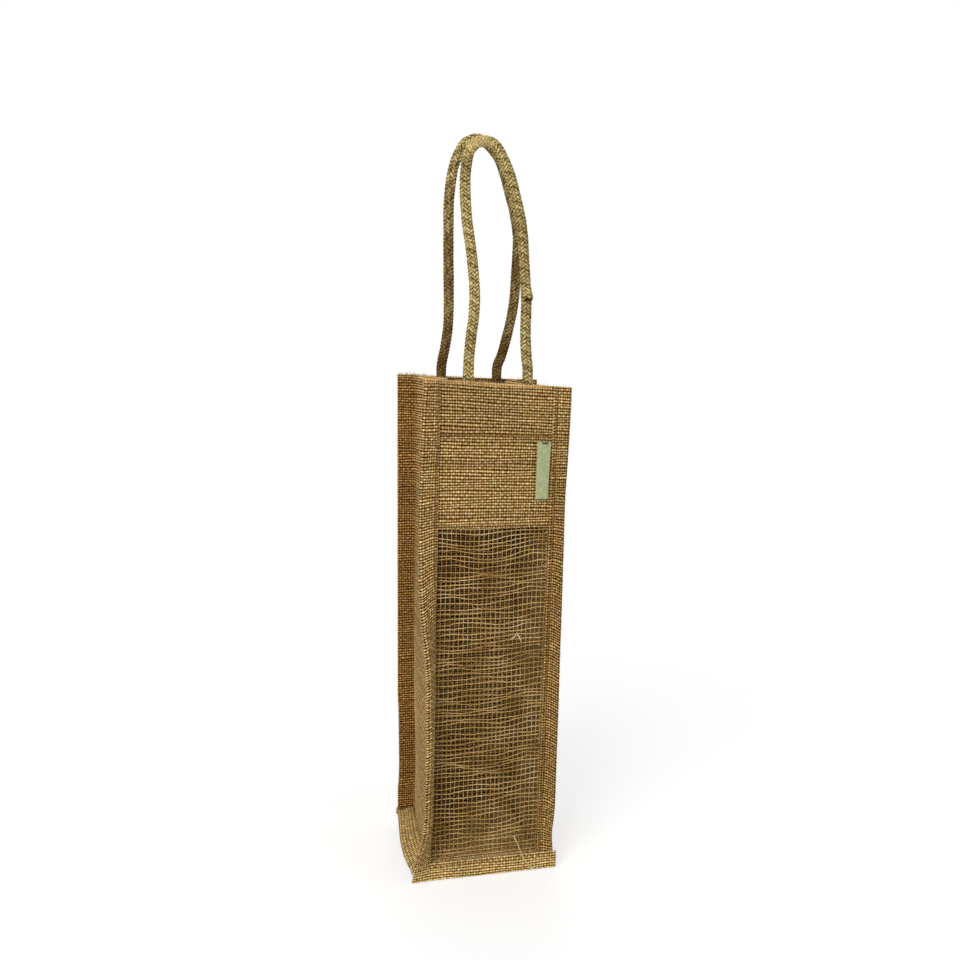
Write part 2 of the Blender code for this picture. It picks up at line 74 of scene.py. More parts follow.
# The bag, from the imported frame
CLOTH = 1.0 * MM
CLEAR = 0.3 * MM
LAYER = CLOTH + CLEAR
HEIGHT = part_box("front_panel")[1].z
FRONT_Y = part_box("front_panel")[0].y + CLOTH / 2
BACK_Y = -FRONT_Y
FLANGE_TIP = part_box("right_side_panel")[1].x
SEAM_FLANGE = 13.5 * MM
SEAM_X = FLANGE_TIP - SEAM_FLANGE
NET_THICKNESS = 0.8 * MM
NET_Y = FRONT_Y + CLOTH / 2 + CLEAR + NET_THICKNESS / 2
FRONT_INNER_Y = NET_Y + NET_THICKNESS / 2 + CLEAR + CLOTH / 2
FRONT_OUTER_Y = FRONT_Y - LAYER
BACK_INNER_Y = BACK_Y - LAYER
BACK_OUTER_Y = BACK_Y + LAYER
FOLD_RADIUS = 1.0 * MM
RIM_HEIGHT = 13.5 * MM
RIM_SEAM_Z = RIM_HEIGHT + CLEAR
RIM_RUN = RIM_HEIGHT - LAYER - CLOTH / 2  # of a side cloth inside its rim
RIM_FLARE = math.radians(45)
TUCK = 1.5 * MM
MIDDLE_REACH = SEAM_X - TUCK
WEB_REACH = BACK_Y - 3 * MM - FOLD_RADIUS
TOP_HEM = 42 * MM
HEM_STITCH_Z = HEIGHT - 36 * MM
SEAM_STITCH_INSET = 2.0 * MM
WINDOW_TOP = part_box("front_panel")[0].z

# How the bag has settled: its top leans to the right, its walls bow and its seams turn
TOP_LEAN = 2.0 * MM
TOP_FADE = (0.280, 0.080)
BACK_LEAN = 1.1 * MM
BACK_RISE = 1.1 * MM
BACK_FADE = (-10 * MM, 50 * MM)
CORNER_LEVELS = (0.000, 0.014, 0.029, 0.041, 0.0525, 0.0645, 0.088, 0.098, 0.108, 0.360)
# How far the back left corner has shifted along X there, in millimetres
CORNER_SHIFTS = (0.6, 2.2, 1.97, 2.60, 2.62, 2.39, 1.84, 1.49, 0.79, -3.0)
CORNER_ROUNDING = 3 * MM
MOUTH_BOW = 0.8 * MM
MOUTH_BOW_FADE = (0.30, 0.06)
WALL_RIPPLE = 0.35 * MM
WALL_WAVES = (0.05, 0.07, 0.11)
WALL_SEED = 5
WALL_FADE = (36 * MM, 2 * MM)  # from the middle to a wall
RIM_HOLD_FADE = (RIM_SEAM_Z, 30 * MM)  # above the rim, which holds the walls straight
GROUND_HOLD = 0.4 * MM  # the ground holds the cloths' middles this high
TURN_FADE = (-34 * MM, 4 * MM)  # in front of the side cloths' webs
TURN_BEND = 3.0 * MM  # the width over which a seam bends
TURN_ROUNDING = 6 * MM
LEFT_TURN_LEVELS = (
    0.000, 0.014, 0.025, 0.040, 0.052, 0.110, 0.150, 0.174, 0.205, 0.225, 0.262, 0.300, 0.345, 0.360
)
LEFT_TURN_DEGREES = (0, 18, 40, 60, 66, 66, 62, 53, 31, 20, 9, 12, 22, 25)
RIGHT_TURN_LEVELS = (0.020, 0.120, 0.280, 0.340)
RIGHT_TURN_DEGREES = (0, -6, -20, -4)
LEFT_RIM_PLACES = (-0.040, -0.020, 0.000, 0.020, 0.040)  # along Y
LEFT_RIM_LIFTS = (6, 17, 23, 25, 31)  # degrees by which the left rim stands higher there
LEFT_RIM_STRETCHES = (1.16, 1.30, 1.26, 1.16, 1.03)  # and how much further it stands out
LEFT_RIM_ROUNDING = 4 * MM
LEFT_RIM_FADE = (-SEAM_X - 0.6 * MM, 1.5 * MM)
LEFT_RIM_TOP_FADE = (RIM_SEAM_Z, 1 * MM)
LEFT_RIM_END_FADE = (BACK_OUTER_Y - 1 * MM, 2 * MM)

# The weave: a plain weave, its threads about two millimetres apart
THREAD_ACROSS = 1.82 * MM
THREAD_UP = 2.07 * MM
THREAD_STRAY = 0.26 * MM  # of a whole thread to one side
THREAD_WANDER = 0.60 * MM  # of a thread along itself
WARP_WAVES = (0.011, 0.017, 0.029)
WEFT_WAVES = (0.009, 0.014, 0.026)
WARP_DRAWN = 5  # how much longer the waves are along the warps
WEFT_DRAWN = 4
STRAIGHT_THREADS = 2  # over which a cloth's threads run straighter towards its edge
WEFT_WAVE = 0.08 * MM
WEFT_ROUND = 0.42 * MM
WEFT_HALF_SHARE = 0.42
WARP_WAVE = 0.08 * MM
WARP_ROUND = 0.30 * MM
WARP_HALF_SHARE = 0.38
CROSSING_RISE = 0.12 * MM
WEAVE_SINK = 0.45 * MM
FINE_DETAIL = 3  # points per thread from which a cloth has its whole relief
COARSE_RELIEF = 0.6  # of the relief, on cloths with fewer
LEFT_BEAT = (1.0, 0.93)  # how much closer the left side cloth's warps and wefts lie
RIGHT_BEAT = (1.0, 0.98)
BASE_BEAT = (1.1, 1.0)

# The camera, worked out from the bag's corners in the photograph
CAMERA_PLACE = Vector((-0.1601, -0.6478, 0.3843))
CAMERA_TARGET = Vector((-0.0005, 0.0, 0.2873))
CAMERA_ROLL = math.radians(1.56)
CAMERA_FOCUS_PIXELS = 917
IMAGE_PIXELS = 960
SENSOR_MM = 36


def smooth(share):
    """A step from 0 to 1 with level ends: 3t squared less 2t cubed."""
    t = np.clip(share, 0, 1)
    return t * t * (3 - 2 * t)


def past(where, start, over):
    """A smooth step from 0 to 1 that begins at start and takes the length over."""
    return smooth((where - start) / over)


def before(where, end, over):
    """A smooth step from 1 to 0 that takes the length over and is done at end."""
    return smooth((end - where) / over)


def close_to(where, place, reach, power=2):
    """A bell from 0 to 1 round a place: e to the power of minus the reaches away, squared."""
    return np.exp(-((where - place) / reach) ** power)


def eased(where, places, values, reach):
    """Values read between places along straight lines, averaged over a reach to round the
    corners."""
    offsets = np.linspace(-reach, reach, 5)
    return sum(np.interp(where + offset, places, values) for offset in offsets) / len(offsets)


def ripple(a, b, seed, lengths):
    """A gentle wandering value from -1 to 1: sines of the given lengths, each in a direction and
    with a start drawn from the seed."""
    draw = np.random.default_rng(seed)
    total = 0
    for length in lengths:
        turn, start = draw.uniform(0, math.tau, 2)
        run = a * math.cos(turn) + b * math.sin(turn)
        total = total + np.sin(math.tau * run / length + start)
    return total / len(lengths)


def stacked(x, y, z):
    """Three arrays of coordinates as one array of points."""
    return np.stack(np.broadcast_arrays(x, y, z), -1)


def turned_seams(x, y, z):
    """X and Y after the front seams' flanges have turned about their stitching, by an angle that
    changes with the height."""
    middle = (FRONT_OUTER_Y + FRONT_INNER_Y) / 2
    for side, levels, degrees in (
        (-1, LEFT_TURN_LEVELS, LEFT_TURN_DEGREES),
        (1, RIGHT_TURN_LEVELS, RIGHT_TURN_DEGREES),
    ):
        turn = np.radians(eased(z, levels, degrees, TURN_ROUNDING))
        turn = turn * past(side * x, SEAM_X, TURN_BEND) * before(y, *TURN_FADE) * -side
        dx, dy = x - side * SEAM_X, y - middle
        x = side * SEAM_X + dx * np.cos(turn) - dy * np.sin(turn)
        y = middle + dx * np.sin(turn) + dy * np.cos(turn)
    return x, y


def lifted_rim(x, y, z):
    """X and Z after the left base rim has turned up about its seam and stretched away from it, by
    amounts that change along it."""
    held = before(x, *LEFT_RIM_FADE) * before(z, *LEFT_RIM_TOP_FADE)
    held = held * before(np.abs(y), *LEFT_RIM_END_FADE)
    lift = np.radians(eased(y, LEFT_RIM_PLACES, LEFT_RIM_LIFTS, LEFT_RIM_ROUNDING)) * held
    further = eased(y, LEFT_RIM_PLACES, LEFT_RIM_STRETCHES, LEFT_RIM_ROUNDING)
    further = 1 + held * (further - 1)
    dx, dz = further * (x + SEAM_X), further * (z - RIM_SEAM_Z)
    x = -SEAM_X + dx * np.cos(lift) + dz * np.sin(lift)
    return x, RIM_SEAM_Z - dx * np.sin(lift) + dz * np.cos(lift)


def settled(points):
    """Where points of the straight bag lie once it has settled.

    The front seams' flanges turn about their stitching, the left base rim stands higher and
    further out, the walls bow and ripple between the seams, the back left corner leans out, the
    top leans down to the right, and the ground holds the lowest edges up."""
    x, y, z = (points[..., k].copy() for k in range(3))
    x, y = turned_seams(x, y, z)
    x, z = lifted_rim(x, y, z)
    between = np.cos(np.clip(x / SEAM_X, -1, 1) * QUARTER) ** 2
    outward = np.sign(y) * past(np.abs(y), *WALL_FADE) * between
    bow = MOUTH_BOW * past(z, *MOUTH_BOW_FADE) + WALL_RIPPLE * ripple(x, z, WALL_SEED, WALL_WAVES)
    y = y + outward * past(z, *RIM_HOLD_FADE) * bow
    behind = past(y, *BACK_FADE)
    shift = MM * eased(z, CORNER_LEVELS, CORNER_SHIFTS, CORNER_ROUNDING)
    lean = TOP_LEAN + (BACK_LEAN - TOP_LEAN) * behind
    z = z + (BACK_RISE * behind - x / FLANGE_TIP * lean) * past(z, *TOP_FADE)
    x = x + shift * smooth(-x / SEAM_X) * behind
    return stacked(x, y, np.maximum(z, GROUND_HOLD))


def weave_relief(a, b):
    """Height of a plain weave's face at thread counts a across and b up. Each thread rides over
    and under the others as a cosine and is half round across itself, the higher one shows, and
    the two bulge where they cross."""
    i, j = np.round(a), np.round(b)
    weft_dome = np.sqrt(np.clip(1 - ((b - j) / WEFT_HALF_SHARE) ** 2, 0, 1))
    warp_dome = np.sqrt(np.clip(1 - ((a - i) / WARP_HALF_SHARE) ** 2, 0, 1))
    weft = WEFT_WAVE * np.cos(math.pi * a) * np.cos(math.pi * j) + WEFT_ROUND * weft_dome
    warp = -WARP_WAVE * np.cos(math.pi * b) * np.cos(math.pi * i) + WARP_ROUND * warp_dome
    return np.maximum(weft, warp) + CROSSING_RISE * weft_dome * warp_dome - WEAVE_SINK


def woven_shell(wide, tall, place, detail, seed, keep=None, flip=False, beat=(1, 1)):
    """A woven cloth as a closed shell: (points, arrays of faces, cloth place of each point).

    The threads are laid out evenly over wide and tall, wander a little, and place bends them.
    The face has detail points per thread each way and carries the weave's relief, the back has
    one point per thread, and the two are joined along every edge. keep says which squares
    between threads belong to the cloth. The face is on the side of du x dv, or away from it, and
    beat is how close together the warps and the wefts lie."""
    across = round((wide[1] - wide[0]) / (THREAD_ACROSS * beat[0]))
    up = round((tall[1] - tall[0]) / (THREAD_UP * beat[1]))
    du, dv = detail

    def laid(a, b):
        u = wide[0] + (wide[1] - wide[0]) * a / across
        return u, tall[0] + (tall[1] - tall[0]) * b / up

    a, b = np.meshgrid(
        np.arange(across * du + 1) / du, np.arange(up * dv + 1) / dv, indexing="ij"
    )
    u, v = laid(a, b)
    draw = np.random.default_rng(seed)
    inside = smooth(np.minimum(a, across - a) / STRAIGHT_THREADS)
    inside = inside * smooth(np.minimum(b, up - b) / STRAIGHT_THREADS)
    u_strays = draw.uniform(-THREAD_STRAY, THREAD_STRAY, across + 1)
    v_strays = draw.uniform(-THREAD_STRAY, THREAD_STRAY, up + 1)
    u_step = np.interp(a, np.arange(across + 1), u_strays)
    v_step = np.interp(b, np.arange(up + 1), v_strays)
    u_wave = THREAD_WANDER * ripple(u, v / WARP_DRAWN, seed + 1, WARP_WAVES)
    v_wave = THREAD_WANDER * ripple(u / WEFT_DRAWN, v, seed + 2, WEFT_WAVES)
    spots = place(u + inside * (u_step + u_wave), v + inside * (v_step + v_wave))
    normal = np.cross(np.gradient(spots, axis=0), np.gradient(spots, axis=1))
    normal /= np.linalg.norm(normal, axis=-1, keepdims=True) * (-1 if flip else 1)
    relief = weave_relief(a, b)[..., None] * (COARSE_RELIEF if du < FINE_DETAIL else 1)
    face = spots + normal * (CLOTH / 2 + relief)
    back = (spots - normal * CLOTH / 2)[::du, ::dv]
    cloth = np.stack([a * THREAD_ACROSS, b * THREAD_UP], -1)
    points = np.concatenate([face.reshape(-1, 3), back.reshape(-1, 3)])
    places = np.concatenate([cloth.reshape(-1, 2), cloth[::du, ::dv].reshape(-1, 2)])
    outer = np.arange(a.size).reshape(a.shape)
    inner = a.size + np.arange((across + 1) * (up + 1)).reshape(across + 1, up + 1)
    kept = np.ones((across, up), bool)
    if keep:
        middles = np.meshgrid(np.arange(across) + 0.5, np.arange(up) + 0.5, indexing="ij")
        kept = keep(*laid(*middles))
    fine = np.repeat(np.repeat(kept, du, 0), dv, 1)
    groups = [quads_of(outer)[fine.ravel()], quads_of(inner)[kept.ravel()][:, ::-1]]
    groups += shell_edges(outer, inner, kept, du, dv)
    if flip:
        groups = [group[:, ::-1] for group in groups]
    return used_only(points, groups, places)


def quads_of(grid):
    """The quads of a grid of point numbers, in the order of its cells."""
    corners = (grid[:-1, :-1], grid[1:, :-1], grid[1:, 1:], grid[:-1, 1:])
    return np.stack([c.ravel() for c in corners], -1)


def shell_edges(outer, inner, kept, du, dv):
    """The faces that close a shell along the border of its kept squares. Each takes the fine
    points of the face along one square and the back's two."""
    wall = np.pad(kept, 1)
    below, above = wall[1:-1, :-1], wall[1:-1, 1:]
    behind, ahead = wall[:-1, 1:-1], wall[1:, 1:-1]
    groups = []
    for here, there, turned in ((above, below, True), (below, above, False)):
        i, j = np.nonzero(here & ~there)
        fine = outer[i[:, None] * du + np.arange(du, -1, -1), (j * dv)[:, None]]
        group = np.concatenate([fine, np.stack([inner[i, j], inner[i + 1, j]], -1)], 1)
        groups.append(group if turned else group[:, ::-1])
    for here, there, turned in ((ahead, behind, True), (behind, ahead, False)):
        i, j = np.nonzero(here & ~there)
        fine = outer[(i * du)[:, None], j[:, None] * dv + np.arange(dv + 1)]
        group = np.concatenate([fine, np.stack([inner[i, j + 1], inner[i, j]], -1)], 1)
        groups.append(group if turned else group[:, ::-1])
    return [group for group in groups if len(group)]


def used_only(points, groups, places):
    """The same faces with the points that none of them uses left out."""
    used = np.unique(np.concatenate([group.ravel() for group in groups]))
    number = np.zeros(len(points), int)
    number[used] = np.arange(len(used))
    return points[used], [number[group] for group in groups], places[used]


def joined(parts):
    """Several closed shapes as one: their points and their faces one after another."""
    points, groups, start = [], [], 0
    for part_points, part_groups, *_ in parts:
        groups += [group + start for group in part_groups]
        start += len(part_points)
        points.append(part_points)
    return np.concatenate(points), groups


def piece(name, points, groups, material, places=None, facts=None):
    """A smooth-shaded object from points and arrays of faces. places is a UV map named cloth,
    one place per point, and facts are further values per point."""
    mesh = bpy.data.meshes.new(name)
    corners = np.concatenate([group.ravel() for group in groups])
    counts = np.concatenate([np.full(len(group), group.shape[1]) for group in groups])
    mesh.vertices.add(len(points))
    mesh.loops.add(len(corners))
    mesh.polygons.add(len(counts))
    mesh.vertices.foreach_set("co", points.astype(np.float32).ravel())
    mesh.loops.foreach_set("vertex_index", corners.astype(np.int32))
    starts = np.concatenate([[0], np.cumsum(counts)[:-1]])
    mesh.polygons.foreach_set("loop_start", starts.astype(np.int32))
    mesh.update(calc_edges=True)
    if places is not None:
        layer = mesh.uv_layers.new(name="cloth")
        layer.uv.foreach_set("vector", places[corners].astype(np.float32).ravel())
    for fact, values in (facts or {}).items():
        attribute = mesh.attributes.new(fact, "FLOAT_VECTOR", "POINT")
        attribute.data.foreach_set("vector", values.astype(np.float32).ravel())
    mesh.validate()
    mesh.shade_smooth()
    mesh.materials.append(material)
    thing = bpy.data.objects.new(name, mesh)
    bpy.context.scene.collection.objects.link(thing)
    return thing


YARN_SIDES = 6


def tube_faces(lines, rings, sides):
    """The quads and the end caps of closed tubes, whose points run round a ring, then from ring
    to ring and from line to line."""
    number = np.arange(lines * rings * sides).reshape(lines, rings, sides)
    following = np.roll(number, -1, axis=2)
    quads = np.stack([number[:, :-1], following[:, :-1], following[:, 1:], number[:, 1:]], -1)
    return [quads.reshape(-1, 4), np.concatenate([number[:, 0, ::-1], number[:, -1]])]


def rings_to_tubes(centres, radii, sides, reference):
    """Closed round tubes along many lines at once: (points, arrays of faces).

    centres is lines x rings x 3 and radii is lines x rings. A ring lies square to its line, and
    starts on the side of the line that the reference direction points to."""
    along = np.gradient(centres, axis=1)
    along /= np.linalg.norm(along, axis=-1, keepdims=True)
    first = np.cross(along, reference)
    first /= np.linalg.norm(first, axis=-1, keepdims=True)
    second = np.cross(along, first)
    angle = (np.arange(sides) * math.tau / sides)[:, None]
    spread = first[:, :, None] * np.cos(angle) + second[:, :, None] * np.sin(angle)
    points = centres[:, :, None] + spread * radii[:, :, None, None]
    return points.reshape(-1, 3), tube_faces(*centres.shape[:2], sides)


# Materials

MATH, MIX, NOISE = "ShaderNodeMath", "ShaderNodeMix", "ShaderNodeTexNoise"
RANGE, PLACED = "ShaderNodeMapRange", "ShaderNodeMapping"
MULTIPLY = {"data_type": "RGBA", "blend_type": "MULTIPLY"}  # one colour by another


def linear(code):
    """An sRGB hex colour as linear values with full opacity."""
    parts = [int(code[k:k + 2], 16) / 255 for k in (1, 3, 5)]
    curve = [c / 12.92 if c <= 0.04045 else ((c + 0.055) / 1.055) ** 2.4 for c in parts]
    return (*curve, 1.0)


def add(tree, kind, inputs=None, **settings):
    """Adds a node, sets its properties, and links its inputs or sets their values. A node as an
    input stands for its first output."""
    made = tree.nodes.new(kind)
    for name, value in settings.items():
        setattr(made, name, value)
    for key, value in (inputs or {}).items():
        if isinstance(value, bpy.types.Node):
            value = value.outputs[0]
        if isinstance(value, bpy.types.NodeSocket):
            tree.links.new(value, made.inputs[key])
        else:
            made.inputs[key].default_value = value
    return made


def blank_material(name):
    """A new material without nodes, and its node tree."""
    material = bpy.data.materials.new(name)
    material.use_nodes = True
    material.node_tree.nodes.clear()
    return material, material.node_tree


def colour_steps(tree, value, steps):
    """Colours between a value's steps, each a place and a hex colour."""
    ramp = add(tree, "ShaderNodeValToRGB", {0: value})
    elements = ramp.color_ramp.elements
    while len(elements) < len(steps):
        elements.new(1.0)
    for element, (place, code) in zip(elements, steps):
        element.position = place
        element.color = linear(code)
    return ramp.outputs["Color"]


def varied(tree, colour, rows):
    """A colour made darker and lighter by values: each row is a value and how light the colour
    is where it is 0 and where it is 1."""
    for value, low, high in rows:
        level = add(tree, RANGE, {"Value": value, "To Min": low, "To Max": high})
        colour = add(tree, MIX, {0: 1.0, 6: colour, 7: level}, **MULTIPLY).outputs[2]
    return colour


def surfaced(tree, colour, relief, bump, roughness, specular, sheen=0.0):
    """Ends a material: a colour, bumps from a relief with their strength and depth, and how
    rough, shiny and silky the surface is."""
    strength, depth = bump
    normal = add(tree, "ShaderNodeBump", {"Height": relief, "Strength": strength, "Distance": depth})
    shader = add(
        tree, "ShaderNodeBsdfPrincipled",
        {"Base Color": colour, "Normal": normal, "Roughness": roughness,
         "Specular IOR Level": specular, "Sheen Weight": sheen},
    )
    add(tree, "ShaderNodeOutputMaterial", {"Surface": shader})


# Each family of yarns in the weave's finish: the family it crosses; how often its fibres and its
# slubs change per thread, across and up; its seed; its half width's least share of the spacing
# and how much that varies; its height; how far it rides over and under, and how high it lies
YARNS = {
    "weft": {
        "crosses": "warp", "fibres": (1.1, 9), "slubs": (0.28, 3), "seed": 3.7, "thin": 0.25,
        "varies": 0.20, "height": 0.53, "ride": 0.06, "lies": 0.05,
    },
    "warp": {
        "crosses": "weft", "fibres": (9, 1.1), "slubs": (3, 0.28), "seed": 57.3, "thin": 0.21,
        "varies": 0.20, "height": 0.44, "ride": -0.06, "lies": 0.0,
    },
}
YARN_BULGE = 0.13  # where two yarns cross
YARN_UNEVEN = 0.50  # how much the weave's height varies
YARN_UNEVEN_STEPS = (0.85, 0.85)  # changes of it per thread
YARN_SINK = 0.13  # keeps the height between 0 and 1
CRUSHED_WEAR = (1.0, 1.7)  # wear and painted light at which the yarns begin to be crushed, and are most
CRUSHED_MOST = 0.75
CRUSHED_HEIGHT = 0.78
JUTE_CLOUD = 1000 / 34 * MM  # 34 to the metre
JUTE_HUE_CLOUD = 1000 / 90 * MM
JUTE_HUES = ((0.34, "#FAFFF2"), (0.52, "#FFFFFF"), (0.70, "#FFF8F0"))
JUTE_FIBRE_RELIEF = 0.30
JUTE_BUMP = (1.0, 0.32 * MM)


def per_thread(changes):
    """A pattern's scale on the cloth from its changes per thread, across and up."""
    return (changes[0] / THREAD_ACROSS, changes[1] / THREAD_UP, 1)


def woven_jute(name, hole, shade, body, crown):
    """Natural jute in a plain weave: matt straw-brown yarns of uneven thickness and tone, hairy
    fibres along them, and dark pin-holes where four yarns meet, with painted shade in the holes
    and down the yarns' sides and a painted highlight on their crowns. It works out the same yarns
    as the cloth's relief, from the cloth's own UV map in metres. Its attribute of wear and painted
    light is above one where folds and top edges are rubbed pale with a painted highlight and
    their yarns crushed together, and below one along the stitching and where painted shade falls."""
    material, tree = blank_material(name)
    place = add(tree, "ShaderNodeUVMap", uv_map="cloth")
    split = add(tree, "ShaderNodeSeparateXYZ", {0: place})
    off, whole, sign, wave = {}, {}, {}, {}
    for word, axis, spacing in (("warp", "X", THREAD_ACROSS), ("weft", "Y", THREAD_UP)):
        count = add(tree, MATH, {0: split.outputs[axis], 1: 1 / spacing}, operation="MULTIPLY")
        whole[word] = add(tree, MATH, {0: count}, operation="ROUND")
        off[word] = add(tree, MATH, {0: count, 1: whole[word]}, operation="SUBTRACT")
        for store, source in ((wave, count), (sign, whole[word])):
            angle = add(tree, MATH, {0: source, 1: math.pi}, operation="MULTIPLY")
            store[word] = add(tree, MATH, {0: angle}, operation="COSINE")
    domes, heights, tones, fibres = {}, {}, {}, {}
    for word, yarn in YARNS.items():
        number = add(tree, MATH, {0: whole[word], 1: yarn["seed"]}, operation="ADD")
        tones[word] = add(tree, "ShaderNodeTexWhiteNoise", {"W": number}, noise_dimensions="1D")
        start = (yarn["seed"], 0, 0)
        drawn = {"Vector": place, "Scale": per_thread(yarn["fibres"]), "Location": start}
        fibres[word] = add(
            tree, NOISE,
            {"Vector": add(tree, PLACED, drawn), "Scale": 1.0, "Detail": 2.0, "Roughness": 0.6},
        )
        swelling = add(tree, PLACED, {"Vector": place, "Scale": per_thread(yarn["slubs"])})
        slub = add(tree, NOISE, {"Vector": swelling, "Scale": 1.0, "Detail": 1.0})
        width = {0: slub, 1: yarn["varies"], 2: yarn["thin"]}
        width = add(tree, MATH, width, operation="MULTIPLY_ADD")
        aside = add(tree, MATH, {0: off[word], 1: width}, operation="DIVIDE")
        squared = add(tree, MATH, {0: aside, 1: aside}, operation="MULTIPLY")
        left = add(tree, MATH, {0: 1.0, 1: squared}, operation="SUBTRACT", use_clamp=True)
        domes[word] = add(tree, MATH, {0: left, 1: 0.5}, operation="POWER")
        ride = add(tree, MATH, {0: wave[yarn["crosses"]], 1: sign[word]}, operation="MULTIPLY")
        ride = {0: ride, 1: yarn["ride"], 2: yarn["lies"]}
        ride = add(tree, MATH, ride, operation="MULTIPLY_ADD")
        height = {0: domes[word], 1: yarn["height"], 2: ride}
        heights[word] = add(tree, MATH, height, operation="MULTIPLY_ADD")
    both = {0: heights["weft"], 1: heights["warp"]}
    height = add(tree, MATH, both, operation="MAXIMUM")
    on_top = add(tree, MATH, both, operation="GREATER_THAN")
    bulge = add(tree, MATH, {0: domes["weft"], 1: domes["warp"]}, operation="MULTIPLY")
    height = add(tree, MATH, {0: bulge, 1: YARN_BULGE, 2: height}, operation="MULTIPLY_ADD")
    crossing = add(tree, PLACED, {"Vector": place, "Scale": per_thread(YARN_UNEVEN_STEPS)})
    uneven = add(tree, NOISE, {"Vector": crossing, "Scale": 1.0, "Detail": 1.0})
    height = add(tree, MATH, {0: uneven, 1: YARN_UNEVEN, 2: height}, operation="MULTIPLY_ADD")
    height = add(tree, MATH, {0: height, 1: -YARN_SINK}, operation="ADD", use_clamp=True)
    # Wear and painted light: paler where rubbed with a painted highlight, darker along the stitching
    # and under painted shade
    wear_and_painted_light = add(tree, "ShaderNodeAttribute", attribute_name="wear_and_painted_light").outputs["Vector"]
    begun, done = CRUSHED_WEAR
    crushed = add(
        tree, RANGE,
        {"Value": add(tree, "ShaderNodeSeparateXYZ", {0: wear_and_painted_light}), "From Min": begun,
         "From Max": done, "To Min": 0.0, "To Max": CRUSHED_MOST},
    )
    height = add(tree, MIX, {0: crushed, 2: height, 3: CRUSHED_HEIGHT})
    tone = add(tree, MIX, {0: on_top, 2: tones["warp"], 3: tones["weft"]})
    fibre = add(tree, MIX, {0: on_top, 2: fibres["warp"], 3: fibres["weft"]})
    # The colour by the yarns' height: painted shade in the holes, where the dark inside shows, and
    # down the yarns' sides, and a painted highlight on their crowns
    colour = colour_steps(
        tree, height, ((0.0, hole), (0.30, hole), (0.56, shade), (0.75, body), (0.90, crown))
    )
    where = add(tree, "ShaderNodeTexCoord").outputs["Object"]
    cloud = add(tree, NOISE, {"Vector": where, "Scale": 1 / JUTE_CLOUD, "Detail": 3.0})
    colour = varied(
        tree, colour, ((tone, 0.78, 1.18), (fibre, 0.60, 1.40), (cloud, 0.80, 1.20))
    )
    drift = add(tree, NOISE, {"Vector": where, "Scale": 1 / JUTE_HUE_CLOUD, "Detail": 2.0})
    for tint in (colour_steps(tree, drift, JUTE_HUES), wear_and_painted_light):
        colour = add(tree, MIX, {0: 1.0, 6: colour, 7: tint}, **MULTIPLY).outputs[2]
    rough = {0: fibre, 1: JUTE_FIBRE_RELIEF, 2: height}
    rough = add(tree, MATH, rough, operation="MULTIPLY_ADD")
    surfaced(tree, colour, rough, JUTE_BUMP, roughness=0.95, specular=0.08)
    return material


SPUN_CLOUD = 1000 / 60 * MM
SPUN_CLOUD_SHARE = 0.45
SPUN_BUMP = (0.8, 0.12 * MM)


def spun_jute(name, dark, body, light, fibre_mm, toned=False):
    """Single jute yarn, as in the net and the stitches: twisted, uneven in tone along itself,
    matt, with fibres that catch the light. A toned yarn has a shade attribute that darkens it
    with painted shade."""
    material, tree = blank_material(name)
    where = add(tree, "ShaderNodeTexCoord").outputs["Object"]
    streak = add(
        tree, NOISE,
        {"Vector": where, "Scale": 1 / (fibre_mm * MM), "Detail": 3.0, "Roughness": 0.65},
    )
    cloud = add(tree, NOISE, {"Vector": where, "Scale": 1 / SPUN_CLOUD, "Detail": 1.0})
    both = {0: cloud, 1: SPUN_CLOUD_SHARE, 2: -SPUN_CLOUD_SHARE / 2}
    both = add(tree, MATH, both, operation="MULTIPLY_ADD")
    both = add(tree, MATH, {0: streak, 1: both}, operation="ADD")
    colour = colour_steps(tree, both, ((0.28, dark), (0.50, body), (0.72, light)))
    if toned:
        shade = add(tree, "ShaderNodeAttribute", attribute_name="shade").outputs["Vector"]
        colour = add(tree, MIX, {0: 1.0, 6: colour, 7: shade}, **MULTIPLY).outputs[2]
    surfaced(tree, colour, streak, SPUN_BUMP, roughness=0.9, specular=0.12)
    return material


# The braid's colour by its height: painted shade in the gaps between strands, darkest deepest down
ROPE_STEPS = ((0.0, "#1A1002"), (0.30, "#42310F"), (0.55, "#877036"), (0.90, "#D0BC80"))
ROPE_BROWN = "#AE9370"
ROPE_FIBRES = (7.0, 0.9, 3.0)  # changes across a strand, along it and with its tone
ROPE_BUMP = (0.9, 0.25 * MM)


